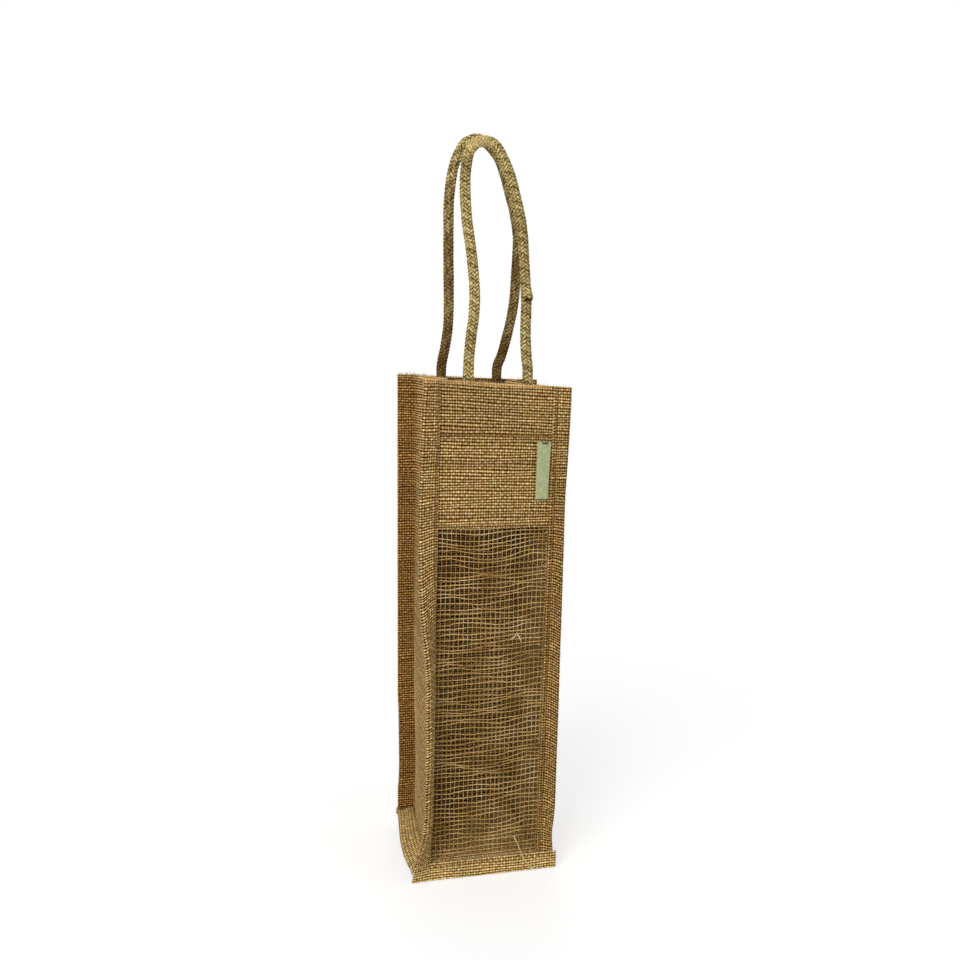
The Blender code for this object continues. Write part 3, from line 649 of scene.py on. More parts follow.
def braided_jute():
    """Braided jute rope: straw-olive strands, each with its own tone and with fibres along it,
    with painted shade, brown to black, in the gaps between them. Its strand attribute holds the
    place across the strand, the place along it and its tone, and its lay attribute the braid's
    height, how brown it is and half of how pale, which carries painted shade and highlights."""
    material, tree = blank_material("braided_jute_rope")
    strand = add(tree, "ShaderNodeAttribute", attribute_name="strand").outputs["Vector"]
    tone = add(tree, "ShaderNodeSeparateXYZ", {0: strand}).outputs["Z"]
    lay = add(tree, "ShaderNodeAttribute", attribute_name="lay").outputs["Vector"]
    lay = add(tree, "ShaderNodeSeparateXYZ", {0: lay}).outputs
    drawn = add(tree, PLACED, {"Vector": strand, "Scale": ROPE_FIBRES})
    fibre = add(tree, NOISE, {"Vector": drawn, "Scale": 1.0, "Detail": 3.0, "Roughness": 0.6})
    colour = colour_steps(tree, lay["X"], ROPE_STEPS)
    brown = {0: lay["Y"], 6: (1, 1, 1, 1), 7: linear(ROPE_BROWN)}
    brown = add(tree, MIX, brown, data_type="RGBA").outputs[2]
    colour = add(tree, MIX, {0: 1.0, 6: colour, 7: brown}, **MULTIPLY).outputs[2]
    colour = varied(
        tree, colour, ((fibre, 0.55, 1.45), (tone, 1.22, 0.70), (lay["Z"], 0.0, 2.0))
    )
    surfaced(tree, colour, fibre, ROPE_BUMP, roughness=0.85, specular=0.18)
    return material


TAPE_RIB = 0.5 * MM
TAPE_RIB_SHARE = 0.08
TAPE_CLOUD = 1000 / 700 * MM
TAPE_STEPS = ((0.2, "#8A9166"), (0.5, "#A4AA7C"), (0.8, "#B6BC8E"))
TAPE_BUMP = (0.35, 0.06 * MM)


def label_tape():
    """Bare sage green polyester tape: a close satin weave that shows as fine cross ribs, with a
    soft sheen, and painted shade on its reverse."""
    material, tree = blank_material("sage_satin_tape")
    where = add(tree, "ShaderNodeTexCoord").outputs["Object"]
    up = add(tree, "ShaderNodeSeparateXYZ", {0: where}).outputs["Z"]
    turns = add(tree, MATH, {0: up, 1: math.tau / TAPE_RIB}, operation="MULTIPLY")
    rib = add(tree, MATH, {0: turns}, operation="SINE")
    cloud = add(tree, NOISE, {"Vector": where, "Scale": 1 / TAPE_CLOUD, "Detail": 3.0})
    mixed = add(tree, MATH, {0: rib, 1: TAPE_RIB_SHARE, 2: cloud}, operation="MULTIPLY_ADD")
    colour = colour_steps(tree, mixed, TAPE_STEPS)
    shade = add(tree, "ShaderNodeAttribute", attribute_name="shade").outputs["Vector"]
    colour = add(tree, MIX, {0: 1.0, 6: colour, 7: shade}, **MULTIPLY).outputs[2]
    surfaced(tree, colour, rib, TAPE_BUMP, roughness=0.55, specular=0.4, sheen=0.2)
    return material


# Colours of the holes, of the painted shade down the yarns, of their body and of the painted highlight
# on their crowns
JUTE = woven_jute("woven_jute", "#221203", "#825E27", "#C7A367", "#F6DFB6")
# A lighter copy of the jute for the base's rims: a painted highlight where they face up to the light
LIT_JUTE_RIM = woven_jute("woven_jute_rim_lit", "#462D0A", "#A47E3D", "#EBC680", "#FFF4CF")
NET_YARN = spun_jute("net_yarn", "#7C5720", "#BC9556", "#ECCF98", 0.5, toned=True)
STITCH_YARN = spun_jute("stitch_yarn", "#5E4319", "#8E7142", "#B99C69", 0.35)
FIBRE = spun_jute("jute_fibre", "#B0935F", "#DCC394", "#F4E4C2", 1.5)
ROPE = braided_jute()
TAPE = label_tape()


# Cloths

SAME_SPOT = 1e-7
CREASE_STEPS = 10  # of an arc, unless it is a small one


def arc(centre, radius, start, end, steps=CREASE_STEPS):
    """Points on an arc between two angles."""
    angle = np.linspace(start, end, steps + 1)
    return np.stack([centre[0] + radius * np.cos(angle), centre[1] + radius * np.sin(angle)], -1)


def run_of(*stretches):
    """A line through the points of several stretches, and the length run up to each point."""
    line = np.concatenate([np.atleast_2d(np.array(s, float)) for s in stretches])
    steps = np.linalg.norm(np.diff(line, axis=0), axis=1)
    line = line[np.concatenate([[True], steps > SAME_SPOT])]
    steps = np.linalg.norm(np.diff(line, axis=0), axis=1)
    return line, np.concatenate([[0], np.cumsum(steps)])


def on_run(run, where):
    """Both coordinates of the places where a run has gone a given way."""
    line, lengths = run
    return np.interp(where, lengths, line[:, 0]), np.interp(where, lengths, line[:, 1])


def hem_run(middle_y, hem_y, low):
    """A wall's cloth in Y and Z: up, over the top fold and down inside as a hem."""
    radius = abs(hem_y - middle_y) / 2
    centre = ((hem_y + middle_y) / 2, HEIGHT - CLOTH / 2 - radius)
    ends = (math.pi, 0) if hem_y > middle_y else (0, math.pi)
    return run_of((middle_y, low), arc(centre, radius, *ends), (hem_y, HEIGHT - TOP_HEM))


# Wear and painted light add to one where a cloth is rubbed pale with a painted highlight, and
# take from it along the stitching and where painted shade sits
HEM_FURROW = 0.8 * MM
HEM_FURROW_REACH = 1.6 * MM
HEM_FURROW_END = (SEAM_X, 3 * MM)
MARGIN_HIDDEN = 1 * MM  # of a margin beside its seam
# The top fold is rubbed pale and carries a painted highlight from the light above
MOUTH_RUBBED_AND_LIT = 0.55
MOUTH_RUBBED_AND_LIT_REACH = 2.0 * MM
# Painted shade on the hem past the top fold, inside the mouth
MOUTH_SHADE = 0.42
MOUTH_SHADE_FADE = (1.2 * MM, 1.5 * MM)
# Darker along the hem's stitching
HEM_STITCH_DARKER = 0.20
HEM_STITCH_DARKER_REACH = 1.5 * MM


def wall_panel(middle_y, hem_y, low, margin_low, outer_y, inner_y, detail, seed):
    """A front or back cloth: flat between its seams, with margins that the seams hold, a hem
    folded in at the top and a furrow where the hem is stitched."""
    radius = abs(outer_y - inner_y) / 2
    edge = FLANGE_TIP - CLOTH / 2 - radius - CLEAR
    run = hem_run(middle_y, hem_y, low)
    fold_start = HEIGHT - CLOTH - abs(hem_y - middle_y) / 2 - low
    outward = math.copysign(1, middle_y)

    def place(u, v):
        y, z = on_run(run, v)
        furrow = HEM_FURROW * close_to(z, HEM_STITCH_Z, HEM_FURROW_REACH)
        furrow = furrow * before(np.abs(u), *HEM_FURROW_END)
        return settled(stacked(u, y - outward * furrow, z))

    def keep(u, v):
        margin = (v > margin_low - low) | (np.abs(u) < SEAM_X + MARGIN_HIDDEN)
        return (np.abs(u) < MIDDLE_REACH) | ((v < fold_start) & margin)

    # Paler on the rubbed top fold with its painted highlight, darker along the hem's stitching, and
    # painted shade on the hem inside the mouth
    def wear_and_painted_light(u, v):
        top = v - fold_start - QUARTER / 2 * abs(hem_y - middle_y)
        rubbed_and_lit = MOUTH_RUBBED_AND_LIT * close_to(top, 0, MOUTH_RUBBED_AND_LIT_REACH, 4)
        stitch_darkening = HEM_STITCH_DARKER * close_to(v + low, HEM_STITCH_Z, HEM_STITCH_DARKER_REACH)
        return 1 + rubbed_and_lit - stitch_darkening - MOUTH_SHADE * past(top, *MOUTH_SHADE_FADE)

    shell = woven_shell(
        (-edge, edge), (0, run[1][-1]), place, detail, seed, keep, flip=middle_y > 0
    )
    return shell, wear_and_painted_light


def side_run():
    """A side cloth in plan at +X, from its front edge to its back edge: out along the front
    seam, round its fold, back in, across the gusset, and the same round the back seam."""
    front = (FRONT_INNER_Y - FRONT_OUTER_Y) / 2
    back = (BACK_OUTER_Y - BACK_INNER_Y) / 2
    turn = SEAM_X + FOLD_RADIUS
    return run_of(
        (SEAM_X, FRONT_OUTER_Y),
        arc((FLANGE_TIP - CLOTH / 2 - front, FRONT_OUTER_Y + front), front, -QUARTER, QUARTER),
        arc((turn, FRONT_INNER_Y + FOLD_RADIUS), FOLD_RADIUS, -QUARTER, -2 * QUARTER),
        arc((turn, BACK_INNER_Y - FOLD_RADIUS), FOLD_RADIUS, 2 * QUARTER, QUARTER),
        arc((FLANGE_TIP - CLOTH / 2 - back, BACK_OUTER_Y - back), back, -QUARTER, QUARTER),
        (SEAM_X, BACK_OUTER_Y),
    )


# The side cloths: the gusset's belly, crease and wrinkles, with levels as shares of the height
GUSSET_BELLY = 3.0 * MM
GUSSET_BELLY_TOP = 0.70
LEFT_CREASE = 14 * MM
RIGHT_CREASE = 24 * MM
CREASE_FADE = (0.6, 0.48)
CREASE_ROUND_SHARE = 0.05
GUSSET_WRINKLE = 0.5 * MM
GUSSET_WAVES = (0.03, 0.045, 0.07)
RIGHT_NARROWS = 1.7 * MM  # how much narrower the right flange is just over the rim
RIGHT_NARROW_PLACE = (30 * MM, 14 * MM)
FRONT_FLANGE_Y = -36 * MM
SEAM_FURROW = 0.45 * MM
SEAM_FURROW_REACH = 1.1 * MM
SEAM_SAG = 6.5 * MM  # how far a front seam's fold hangs lower than its stitching
SEAM_SAG_LEVELS = (0.014, 0.050, 0.200, 0.262, 0.300)
SEAM_SAG_SHARES = (0.35, 1.0, 1.0, 0.35, 0.0)
SEAM_SAG_ROUNDING = 10 * MM
SEAM_SAG_REACHES = (15 * MM, 52 * MM)  # from the fold to the stitching, and inwards
WEB_SLACK = 1e-6
# Their wear and painted light, with levels in metres
FOLD_RUBBED_AND_LIT = (0.20, 0.35)  # pale fold, rubbed and with a painted highlight on its lit side: everywhere, and more further up
FOLD_RUBBED_AND_LIT_FADE = (0.18, 0.08)
FOLD_RUBBED_AND_LIT_REACH = 0.9 * MM
# Darker along the seams' stitching
SEAM_STITCH_DARKER = 0.24
SEAM_STITCH_DARKER_REACH = 0.9 * MM
# The top edge is rubbed pale and carries a painted highlight
TOP_RUBBED_AND_LIT = 0.45
TOP_RUBBED_AND_LIT_OVER = (2.4 * MM, 1.2 * MM)
BEHIND_SHADE = (0.26, 0.04)  # painted shade on the back seams' flanges: everywhere, and more further down
BEHIND_SHADE_FADE = (0.27, 0.08)
BEHIND_OVER = 4 * MM
BEHIND_BARE = 0.8  # how much of it the back seam's outer side is spared
BEHIND_BARE_OVER = (2 * MM, 3 * MM)
# Painted shade on the web just past a front seam's fold, higher up
TURNED_SHADE = 0.20
TURNED_SHADE_FADE = (0.22, 0.08)
TURNED_OVER = (1 * MM, 2 * MM, 6 * MM)
# Painted shade low on the right front flange, which faces away from the light
RIGHT_FLANGE_SHADE = 0.14
RIGHT_FLANGE_SHADE_FADE = (0.33, 0.06)


def side_cloth(side, crease, beat, seed):
    """A side cloth. Its gusset is creased inwards, more and more from the middle up to the top,
    and bellies out below, and the threads sag towards the front seam's fold."""
    run = side_run()
    full = run[1][-1]
    tall = HEIGHT - RIM_SEAM_Z + RIM_RUN
    begin, end = FRONT_INNER_Y + FOLD_RADIUS, BACK_INNER_Y - FOLD_RADIUS
    fold_points = CREASE_STEPS + 2
    tip = np.interp(FLANGE_TIP - CLOTH, run[0][:fold_points, 0], run[1][:fold_points])

    def place(u, v):
        x, y = on_run(run, u)
        share = (y - begin) / (end - begin)
        web = (x < SEAM_X + WEB_SLACK) & (share > 0) & (share < 1)
        middle = np.abs(2 * np.clip(share, 0, 1) - 1)
        z = RIM_SEAM_Z + v - RIM_RUN
        level = z / HEIGHT
        depth = crease * past(level, *CREASE_FADE) / past(1, *CREASE_FADE)
        belly = GUSSET_BELLY * np.sin(math.pi * np.clip(level / GUSSET_BELLY_TOP, 0, 1))
        wrinkle = GUSSET_WRINKLE * ripple(y, z, seed + 9, GUSSET_WAVES)
        fold = 1 - np.sqrt(middle ** 2 + CREASE_ROUND_SHARE ** 2)
        x = x + np.where(web, (belly + wrinkle) * (1 - middle ** 2) - depth * fold, 0)
        narrow = RIGHT_NARROWS * close_to(z, *RIGHT_NARROW_PLACE) * (side > 0)
        narrow = narrow * np.clip(x - SEAM_X, 0, None) / SEAM_FLANGE
        x = x - np.where(y < FRONT_FLANGE_Y, narrow, 0)
        furrow = SEAM_FURROW * close_to(x, SEAM_X + SEAM_STITCH_INSET, SEAM_FURROW_REACH)
        y = y - np.sign(y) * np.where(np.abs(y) > BACK_OUTER_Y - 0.1 * MM, furrow, 0)
        outer, inner = SEAM_SAG_REACHES
        sag = smooth(np.where(u < tip, 1 - (tip - u) / outer, 1 - (u - tip) / inner))
        sag = sag * SEAM_SAG * eased(z, SEAM_SAG_LEVELS, SEAM_SAG_SHARES, SEAM_SAG_ROUNDING)
        down = np.clip(-(v - RIM_RUN), 0, None)
        x = x + down * math.sin(RIM_FLARE)
        z = np.where(v < RIM_RUN, RIM_SEAM_Z - down * math.cos(RIM_FLARE), z - sag)
        return settled(stacked(side * x, y, z))

    def keep(u, v):
        x, y = on_run(run, u)
        return (v > RIM_RUN) | (np.abs(y) < WEB_REACH) & (x < SEAM_X + WEB_SLACK)

    # Paler on the rubbed fold and top edge with their painted highlight, darker along the stitching,
    # and painted shade on the back seams' flanges, beside the turned flanges and low on the right
    # flange
    def wear_and_painted_light(u, v):
        v = v * beat[1]
        level = v + RIM_SEAM_Z - RIM_RUN
        rubbed_and_lit = FOLD_RUBBED_AND_LIT[0] + FOLD_RUBBED_AND_LIT[1] * past(level, *FOLD_RUBBED_AND_LIT_FADE)
        rubbed_and_lit = rubbed_and_lit * close_to(u, tip - FOLD_RUBBED_AND_LIT_REACH, FOLD_RUBBED_AND_LIT_REACH, 4)
        across = np.minimum(u, full - u)
        stitch_darkening = SEAM_STITCH_DARKER * close_to(across, SEAM_STITCH_INSET, SEAM_STITCH_DARKER_REACH)
        top = TOP_RUBBED_AND_LIT * past(v, tall - TOP_RUBBED_AND_LIT_OVER[0], TOP_RUBBED_AND_LIT_OVER[1])
        # Painted shade on the back seams' flanges, set back from the light; the back seam's outer side
        # is mostly spared
        behind = BEHIND_SHADE[0] + BEHIND_SHADE[1] * before(level, *BEHIND_SHADE_FADE)
        behind = behind * past(u, full - 2 * tip, BEHIND_OVER)
        bare = past(u, full - tip + BEHIND_BARE_OVER[0], BEHIND_BARE_OVER[1])
        behind = behind * (1 - BEHIND_BARE * bare)
        begun, over, gone = TURNED_OVER
        turned = past(u, tip + begun, over) * before(u, 3 * tip, gone)
        shaded = TURNED_SHADE * turned * past(level, *TURNED_SHADE_FADE)
        # painted shade low on the right front flange
        right = RIGHT_FLANGE_SHADE * (side > 0) * (u < tip) * before(level, *RIGHT_FLANGE_SHADE_FADE)
        return 1 + rubbed_and_lit - stitch_darkening + top - behind - shaded - right

    shell = woven_shell((0, full), (0, tall), place, (2, 2), seed, keep, side < 0, beat)
    return shell, wear_and_painted_light


# The base cloth's margins
RIM_CORNER = 0.7 * MM
RIM_CORNER_STEPS = 4
RIM_BEND_STEPS = 6
RIM_TIP_POINTS = 9
BACK_WING_RISE = 8.0 * MM
FRONT_RIM_SPREAD = 1.4 * MM
FRONT_RIM_SPREAD_FADE = (20 * MM, 30 * MM)
RIM_RIPPLE = 0.35 * MM
RIM_WAVES = (0.03, 0.05)
RIM_RIPPLE_OVER = 6 * MM
RIM_INSIDE_REACH = SEAM_X + 0.5 * MM
RIM_TOP_SHARE = 0.05  # of the rim's height, left free under the seam
RIM_END_REACH = WEB_REACH + 1.2 * MM


def straight_rim(side, seed):
    """The base cloth's front or back margin: down inside the wall, under its edge and up
    outside, where it runs the whole width of the seams."""
    outer_y = BACK_OUTER_Y if side > 0 else FRONT_OUTER_Y
    inner_y = BACK_INNER_Y if side > 0 else FRONT_INNER_Y
    floor_z = RIM_SEAM_Z - LAYER * math.sin(RIM_FLARE)
    bend = (inner_y - side * FOLD_RADIUS, floor_z - FOLD_RADIUS)
    low_z = CLOTH / 2 + RIM_CORNER
    turn = arc(bend, FOLD_RADIUS, QUARTER, QUARTER - side * QUARTER, RIM_BEND_STEPS)
    begin = math.pi if side > 0 else 0
    inside = (inner_y + side * RIM_CORNER, low_z)
    inside = arc(inside, RIM_CORNER, begin, begin + side * QUARTER, RIM_CORNER_STEPS)
    end = 0 if side > 0 else -math.pi
    outside = (outer_y - side * RIM_CORNER, low_z)
    outside = arc(outside, RIM_CORNER, -QUARTER, end, RIM_CORNER_STEPS)
    run = run_of(turn, inside, outside, (outer_y, RIM_HEIGHT))
    last_inside = len(turn) + len(inside) - 1
    foot = (run[1][last_inside] + run[1][last_inside + 1]) / 2

    def place(u, v):
        y, z = on_run(run, v)
        out = np.clip((np.abs(u) - SEAM_X) / SEAM_FLANGE, 0, 1)
        if side > 0:
            z = z + BACK_WING_RISE * smooth(out) * (1 - z / RIM_HEIGHT)
        else:
            u = u + FRONT_RIM_SPREAD * past(u, *FRONT_RIM_SPREAD_FADE)
        z = z + RIM_RIPPLE * ripple(u, z, seed + 4, RIM_WAVES) * smooth(z / RIM_RIPPLE_OVER)
        return settled(stacked(u, y, z))

    def keep(u, v):
        return (v > foot) | (np.abs(u) < RIM_INSIDE_REACH)

    return woven_shell(
        (-FLANGE_TIP, FLANGE_TIP), (0, run[1][-1]), place, (4, 4), seed, keep, side > 0, BASE_BEAT
    )


def base_middle(seed):
    """The base's floor with its left and right margins, which flare out, turn at the tip and
    come back over the side cloths' lower edges."""
    rim_in = np.array([math.sin(RIM_FLARE), -math.cos(RIM_FLARE)])
    rim_up = np.array([math.cos(RIM_FLARE), math.sin(RIM_FLARE)])
    bend = np.array([SEAM_X, RIM_SEAM_Z])
    tip = bend + RIM_RUN * rim_in
    angle = np.linspace(0, math.pi, RIM_TIP_POINTS)[:, None]
    round_tip = tip + LAYER * (np.sin(angle) * rim_in - np.cos(angle) * rim_up)
    over = bend + RIM_TOP_SHARE * RIM_HEIGHT * rim_in + LAYER * rim_up
    arm = np.concatenate([[bend - LAYER * rim_up], round_tip, [over]])
    run = run_of(arm[::-1] * np.array([-1, 1]), arm)

    def place(u, v):
        x, z = on_run(run, u)
        return settled(stacked(x, v, z))

    wide, tall = (0, run[1][-1]), (-RIM_END_REACH, RIM_END_REACH)
    return woven_shell(wide, tall, place, (2, 2), seed, flip=True)


# Loose fibres

FLUFF = []  # roots and directions of the fibres that stand out of the cloths
FLUFF_COUNT = 1500  # on each cloth
FLUFF_CHANCES = (0.02, 1.0, 0.5)  # anywhere, at the top edge and at the folds
FLUFF_TOP = 2.2 * MM
FLUFF_FOLD = 1.6 * MM
FLUFF_LOWEST = 4 * MM
FLUFF_LEAN, FLUFF_LENGTHS, FLUFF_RADIUS = 0.75, (0.7, 2.2), 0.08 * MM
FRAY_LEAN, FRAY_LENGTHS, FRAY_RADIUS = 0.55, (1.2, 2.8), 0.42 * MM
FRAY_COUNT = 34
FRAY_REACHES = (-12 * MM, 8 * MM)  # either way from the back left seam
FRAY_DROP = 0.8 * MM
FIBRE_SEED = 101
HAIR_CURL = 0.30
HAIR_CURL_MOST = 0.5
HAIR_SIDES = 3
HAIR_STEPS = np.array([0, 0.5, 1.0])
HAIR_TAPER = np.array([1.0, 0.8, 0.35])
HAIR_REFERENCE = np.array([0.31, 0.22, 0.93])  # along no edge of the bag
YARN_END_RADIUS = 0.42 * MM
YARN_END_POINTS = 40
YARN_END_SIDES = 7
YARN_END_SMOOTHINGS = 12
YARN_END_TAPER = (0.35, 2)  # its share at the tip, and how fast it grows per point of the route
# Yarn ends that hang over the front, in millimetres
YARN_ENDS = (
    ((21.6, -42.4, 28.6), (23.2, -45.2, 25.6), (26.2, -45.8, 18.4), (29.3, -46.0, 10.6),
     (35.2, -46.0, 4.4), (37.2, -45.8, 2.4)),
    ((18.9, -42.3, 183.2), (20.4, -45.0, 181.0), (22.2, -44.4, 177.0)),
    ((18.9, -42.3, 183.2), (16.8, -44.4, 181.0), (14.4, -43.7, 179.0)),
)


def fluff(made, places, tips, seed):
    """Picks places on a cloth for loose fibres: near its top edge and its folds, and some
    anywhere."""
    mesh = made.data
    spots = np.empty(len(mesh.vertices) * 3, np.float32)
    mesh.vertices.foreach_get("co", spots)
    normals = np.empty(len(mesh.vertices) * 3, np.float32)
    mesh.vertex_normals.foreach_get("vector", normals)
    spots, normals = spots.reshape(-1, 3), normals.reshape(-1, 3)
    anywhere, top, fold = FLUFF_CHANCES
    chance = anywhere + top * (spots[:, 2] > HEIGHT - FLUFF_TOP)
    for tip in tips:
        chance = chance + fold * (np.abs(places[:, 0] - tip) < FLUFF_FOLD)
    chance = chance * (spots[:, 2] > FLUFF_LOWEST)
    draw = np.random.default_rng(seed)
    chosen = draw.choice(len(spots), FLUFF_COUNT, replace=False, p=chance / chance.sum())
    FLUFF.append((spots[chosen], normals[chosen]))


def hair(roots, directions, lengths, radius, draw):
    """Thin three-sided fibres that taper and curl from their roots: (points, arrays of faces)."""
    directions = directions / np.linalg.norm(directions, axis=1, keepdims=True)
    curl = np.clip(draw.normal(0, HAIR_CURL, roots.shape), -HAIR_CURL_MOST, HAIR_CURL_MOST)
    steps = HAIR_STEPS[:, None]
    centres = roots[:, None] + lengths[:, None, None] * (
        directions[:, None] * steps + curl[:, None] * steps ** 2
    )
    radii = np.broadcast_to(radius * HAIR_TAPER, centres.shape[:2])
    return rings_to_tubes(centres, radii, HAIR_SIDES, HAIR_REFERENCE)


def standing_hair(roots, normals, lean, lengths, radius, draw):
    """Fibres that lean at random out of their roots, with lengths between two, in millimetres."""
    directions = normals + draw.normal(0, lean, roots.shape)
    return hair(roots, directions, draw.uniform(*lengths, len(roots)) * MM, radius, draw)


def yarn_end(way):
    """A loose end of yarn: a tapered tube on a way whose corners are averaged away."""
    line = np.array(way) * MM
    t = np.linspace(0, len(line) - 1, YARN_END_POINTS)
    line = np.stack([np.interp(t, np.arange(len(line)), line[:, k]) for k in range(3)], -1)
    for _ in range(YARN_END_SMOOTHINGS):
        line[1:-1] = (line[:-2] + 2 * line[1:-1] + line[2:]) / 4
    tip, growth = YARN_END_TAPER
    taper = np.minimum(1, tip + np.minimum(t, t[::-1]) * growth)
    radii = YARN_END_RADIUS * taper[None]
    return rings_to_tubes(line[None], radii, YARN_END_SIDES, np.array([0, 1.0, 0]))


def loose_fibres():
    """All the fibres that stand out of the cloths, the loose ends of yarn on the front, and the
    frayed yarns on the back left corner, as one piece."""
    draw = np.random.default_rng(FIBRE_SEED)
    roots, normals = (np.concatenate(values) for values in zip(*FLUFF))
    parts = [standing_hair(roots, normals, FLUFF_LEAN, FLUFF_LENGTHS, FLUFF_RADIUS, draw)]
    frayed = np.linspace(*(reach - SEAM_X for reach in FRAY_REACHES), FRAY_COUNT)
    frayed = settled(stacked(frayed, np.array(BACK_OUTER_Y), np.array(HEIGHT - FRAY_DROP)))
    upright = np.array([0, 0, 1.0])
    parts.append(standing_hair(frayed, upright, FRAY_LEAN, FRAY_LENGTHS, FRAY_RADIUS, draw))
    parts += [yarn_end(way) for way in YARN_ENDS]
    made = piece("loose_fibres", *joined(parts), FIBRE)
    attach(made, "bag")


# The cloths' pieces

FOLD_WAY = 14 * MM  # along a side cloth from its edge to its fold
DARKENING_TINT = (0.8, 1.3, 2.2)  # powers by which darkening, mostly painted shade, darkens red, green and blue


def even_wear(u, v):
    """The wear of a cloth that is alike all over."""
    return 1 + 0 * u


def dress(name, cloth, material, node, fluff_seed, tips=()):
    """A cloth as a piece that stands for its node and rides on the bag. A cloth is a shell and
    how its wear and painted light depend on the place along and up it."""
    (points, groups, places), wear_and_painted_light = cloth
    # Above one: rubbed pale with a painted highlight; below one: darker stitching and painted shade
    worn_and_lit = wear_and_painted_light(places[:, 0], places[:, 1])
    rubbed_and_lit, darkened = np.maximum(worn_and_lit, 1), np.minimum(worn_and_lit, 1)
    tint = np.stack([rubbed_and_lit * darkened ** power for power in DARKENING_TINT], -1)
    made = piece(name, points, groups, material, places, {"wear_and_painted_light": tint})
    fluff(made, places, tips, fluff_seed)
    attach(made, "bag")
    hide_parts(node)
    return made


def cloths():
    """The front, the back, both sides and the base."""
    front = wall_panel(
        FRONT_Y, FRONT_Y + LAYER, WINDOW_TOP, 0, FRONT_OUTER_Y, FRONT_INNER_Y, (4, 4), 11
    )
    dress("front_cloth", front, JUTE, "front_panel",
          11)
    low = CLOTH + TUCK
    back = wall_panel(
        BACK_Y, BACK_INNER_Y, low, RIM_SEAM_Z, BACK_OUTER_Y, BACK_INNER_Y, (2, 2), 23
    )
    dress("back_cloth", back, JUTE, "back_panel",
          10)
    across = side_run()[1][-1]
    for (word, side), crease, beat, seed, fluff_seed in zip(
        SIDES, (LEFT_CREASE, RIGHT_CREASE), (LEFT_BEAT, RIGHT_BEAT), (31, 47), (15, 16)
    ):
        dress(f"{word}_side_cloth", side_cloth(side, crease, beat, seed), JUTE,
              f"{word}_side_panel",
              fluff_seed, tips=(FOLD_WAY, across - FOLD_WAY))
    shells = [base_middle(61), straight_rim(-1, 67), straight_rim(1, 71)]
    base = (*joined(shells), np.concatenate([places for _, _, places in shells]))
    dress("base_cloth", (base, even_wear), LIT_JUTE_RIM, "base_panel",
          10)


# Net

NET_ACROSS = 3.3 * MM
NET_CROSS_RADIUS = 0.38 * MM
NET_UP_RADIUS = 0.28 * MM
# How light the upright yarns are: painted shade, as the light from above falls on the cross yarns
NET_UP_SHADE = 0.72
NET_ROWS = 80
NET_POINTS = 3  # along a yarn, from one that it crosses to the next
NET_SEED = 83
NET_REACH = FLANGE_TIP - 3.5 * MM
NET_ROW_ENDS = (4 * MM, WINDOW_TOP + 10 * MM)
NET_ENDS = (3 * MM, WINDOW_TOP + 11 * MM)
NET_GAPS = (0.62, 1.35)  # least and widest gap between rows, as shares
NET_WAVE = 0.80 * MM
NET_WAVES = (  # length, how far each row runs ahead of the last one, and share of the height
    (0.083, 0.55, 0.8), (0.057, -0.85, 0.65), (0.036, 1.75, 0.45), (0.021, 2.6, 0.28)
)
NET_HELD_FADE = (SEAM_X + 2 * MM, 16 * MM)
NET_LOW_FADE = (8 * MM, 0.03)
NET_HIGH_FADE = (WINDOW_TOP + 4 * MM, 0.015)
NET_RISE = 2.8 * MM
NET_RISE_FADE = (0.004, 0.032)
NET_SAG = 2.8 * MM
NET_SAG_PLACE = (-0.009, 0.017)
NET_SAG_FADE = (0.215, 0.03)
# Size, shift from yarn to yarn, seed and lengths of the yarns' drift and of their slubs
NET_DRIFT = (0.45 * MM, 3, 13, (0.03, 0.052, 0.09))
NET_CROSS_SLUBS = (0.20, 0.37, 7, (0.008, 0.013, 0.031))
NET_UP_SLUBS = (0.22, 5, 17, (0.009, 0.016, 0.04))


def net_rows(x):
    """Heights of the net's cross threads at x, one row each. Their gaps are uneven, and each
    thread waves on a course that changes slowly from row to row and rises to the right seam."""
    draw = np.random.default_rng(NET_SEED)
    gaps = draw.uniform(*NET_GAPS, NET_ROWS - 1)
    low, high = NET_ROW_ENDS
    level = low + (high - low) * np.concatenate([[0], np.cumsum(gaps)]) / gaps.sum()
    level = level[:, None]
    row = np.arange(NET_ROWS)[:, None]
    wave = 0
    for length, step, size in NET_WAVES:
        start = draw.uniform(0, math.tau)
        wave = wave + size * np.sin(math.tau * x / length + row * step + start)
    held = before(np.abs(x), *NET_HELD_FADE)
    strength = past(level, *NET_LOW_FADE) * before(level, *NET_HIGH_FADE)
    rise = NET_RISE * past(x, *NET_RISE_FADE)
    sag = NET_SAG * close_to(x, *NET_SAG_PLACE) * past(level, *NET_SAG_FADE)
    return level + strength * (held * NET_WAVE * wave + rise - sag)


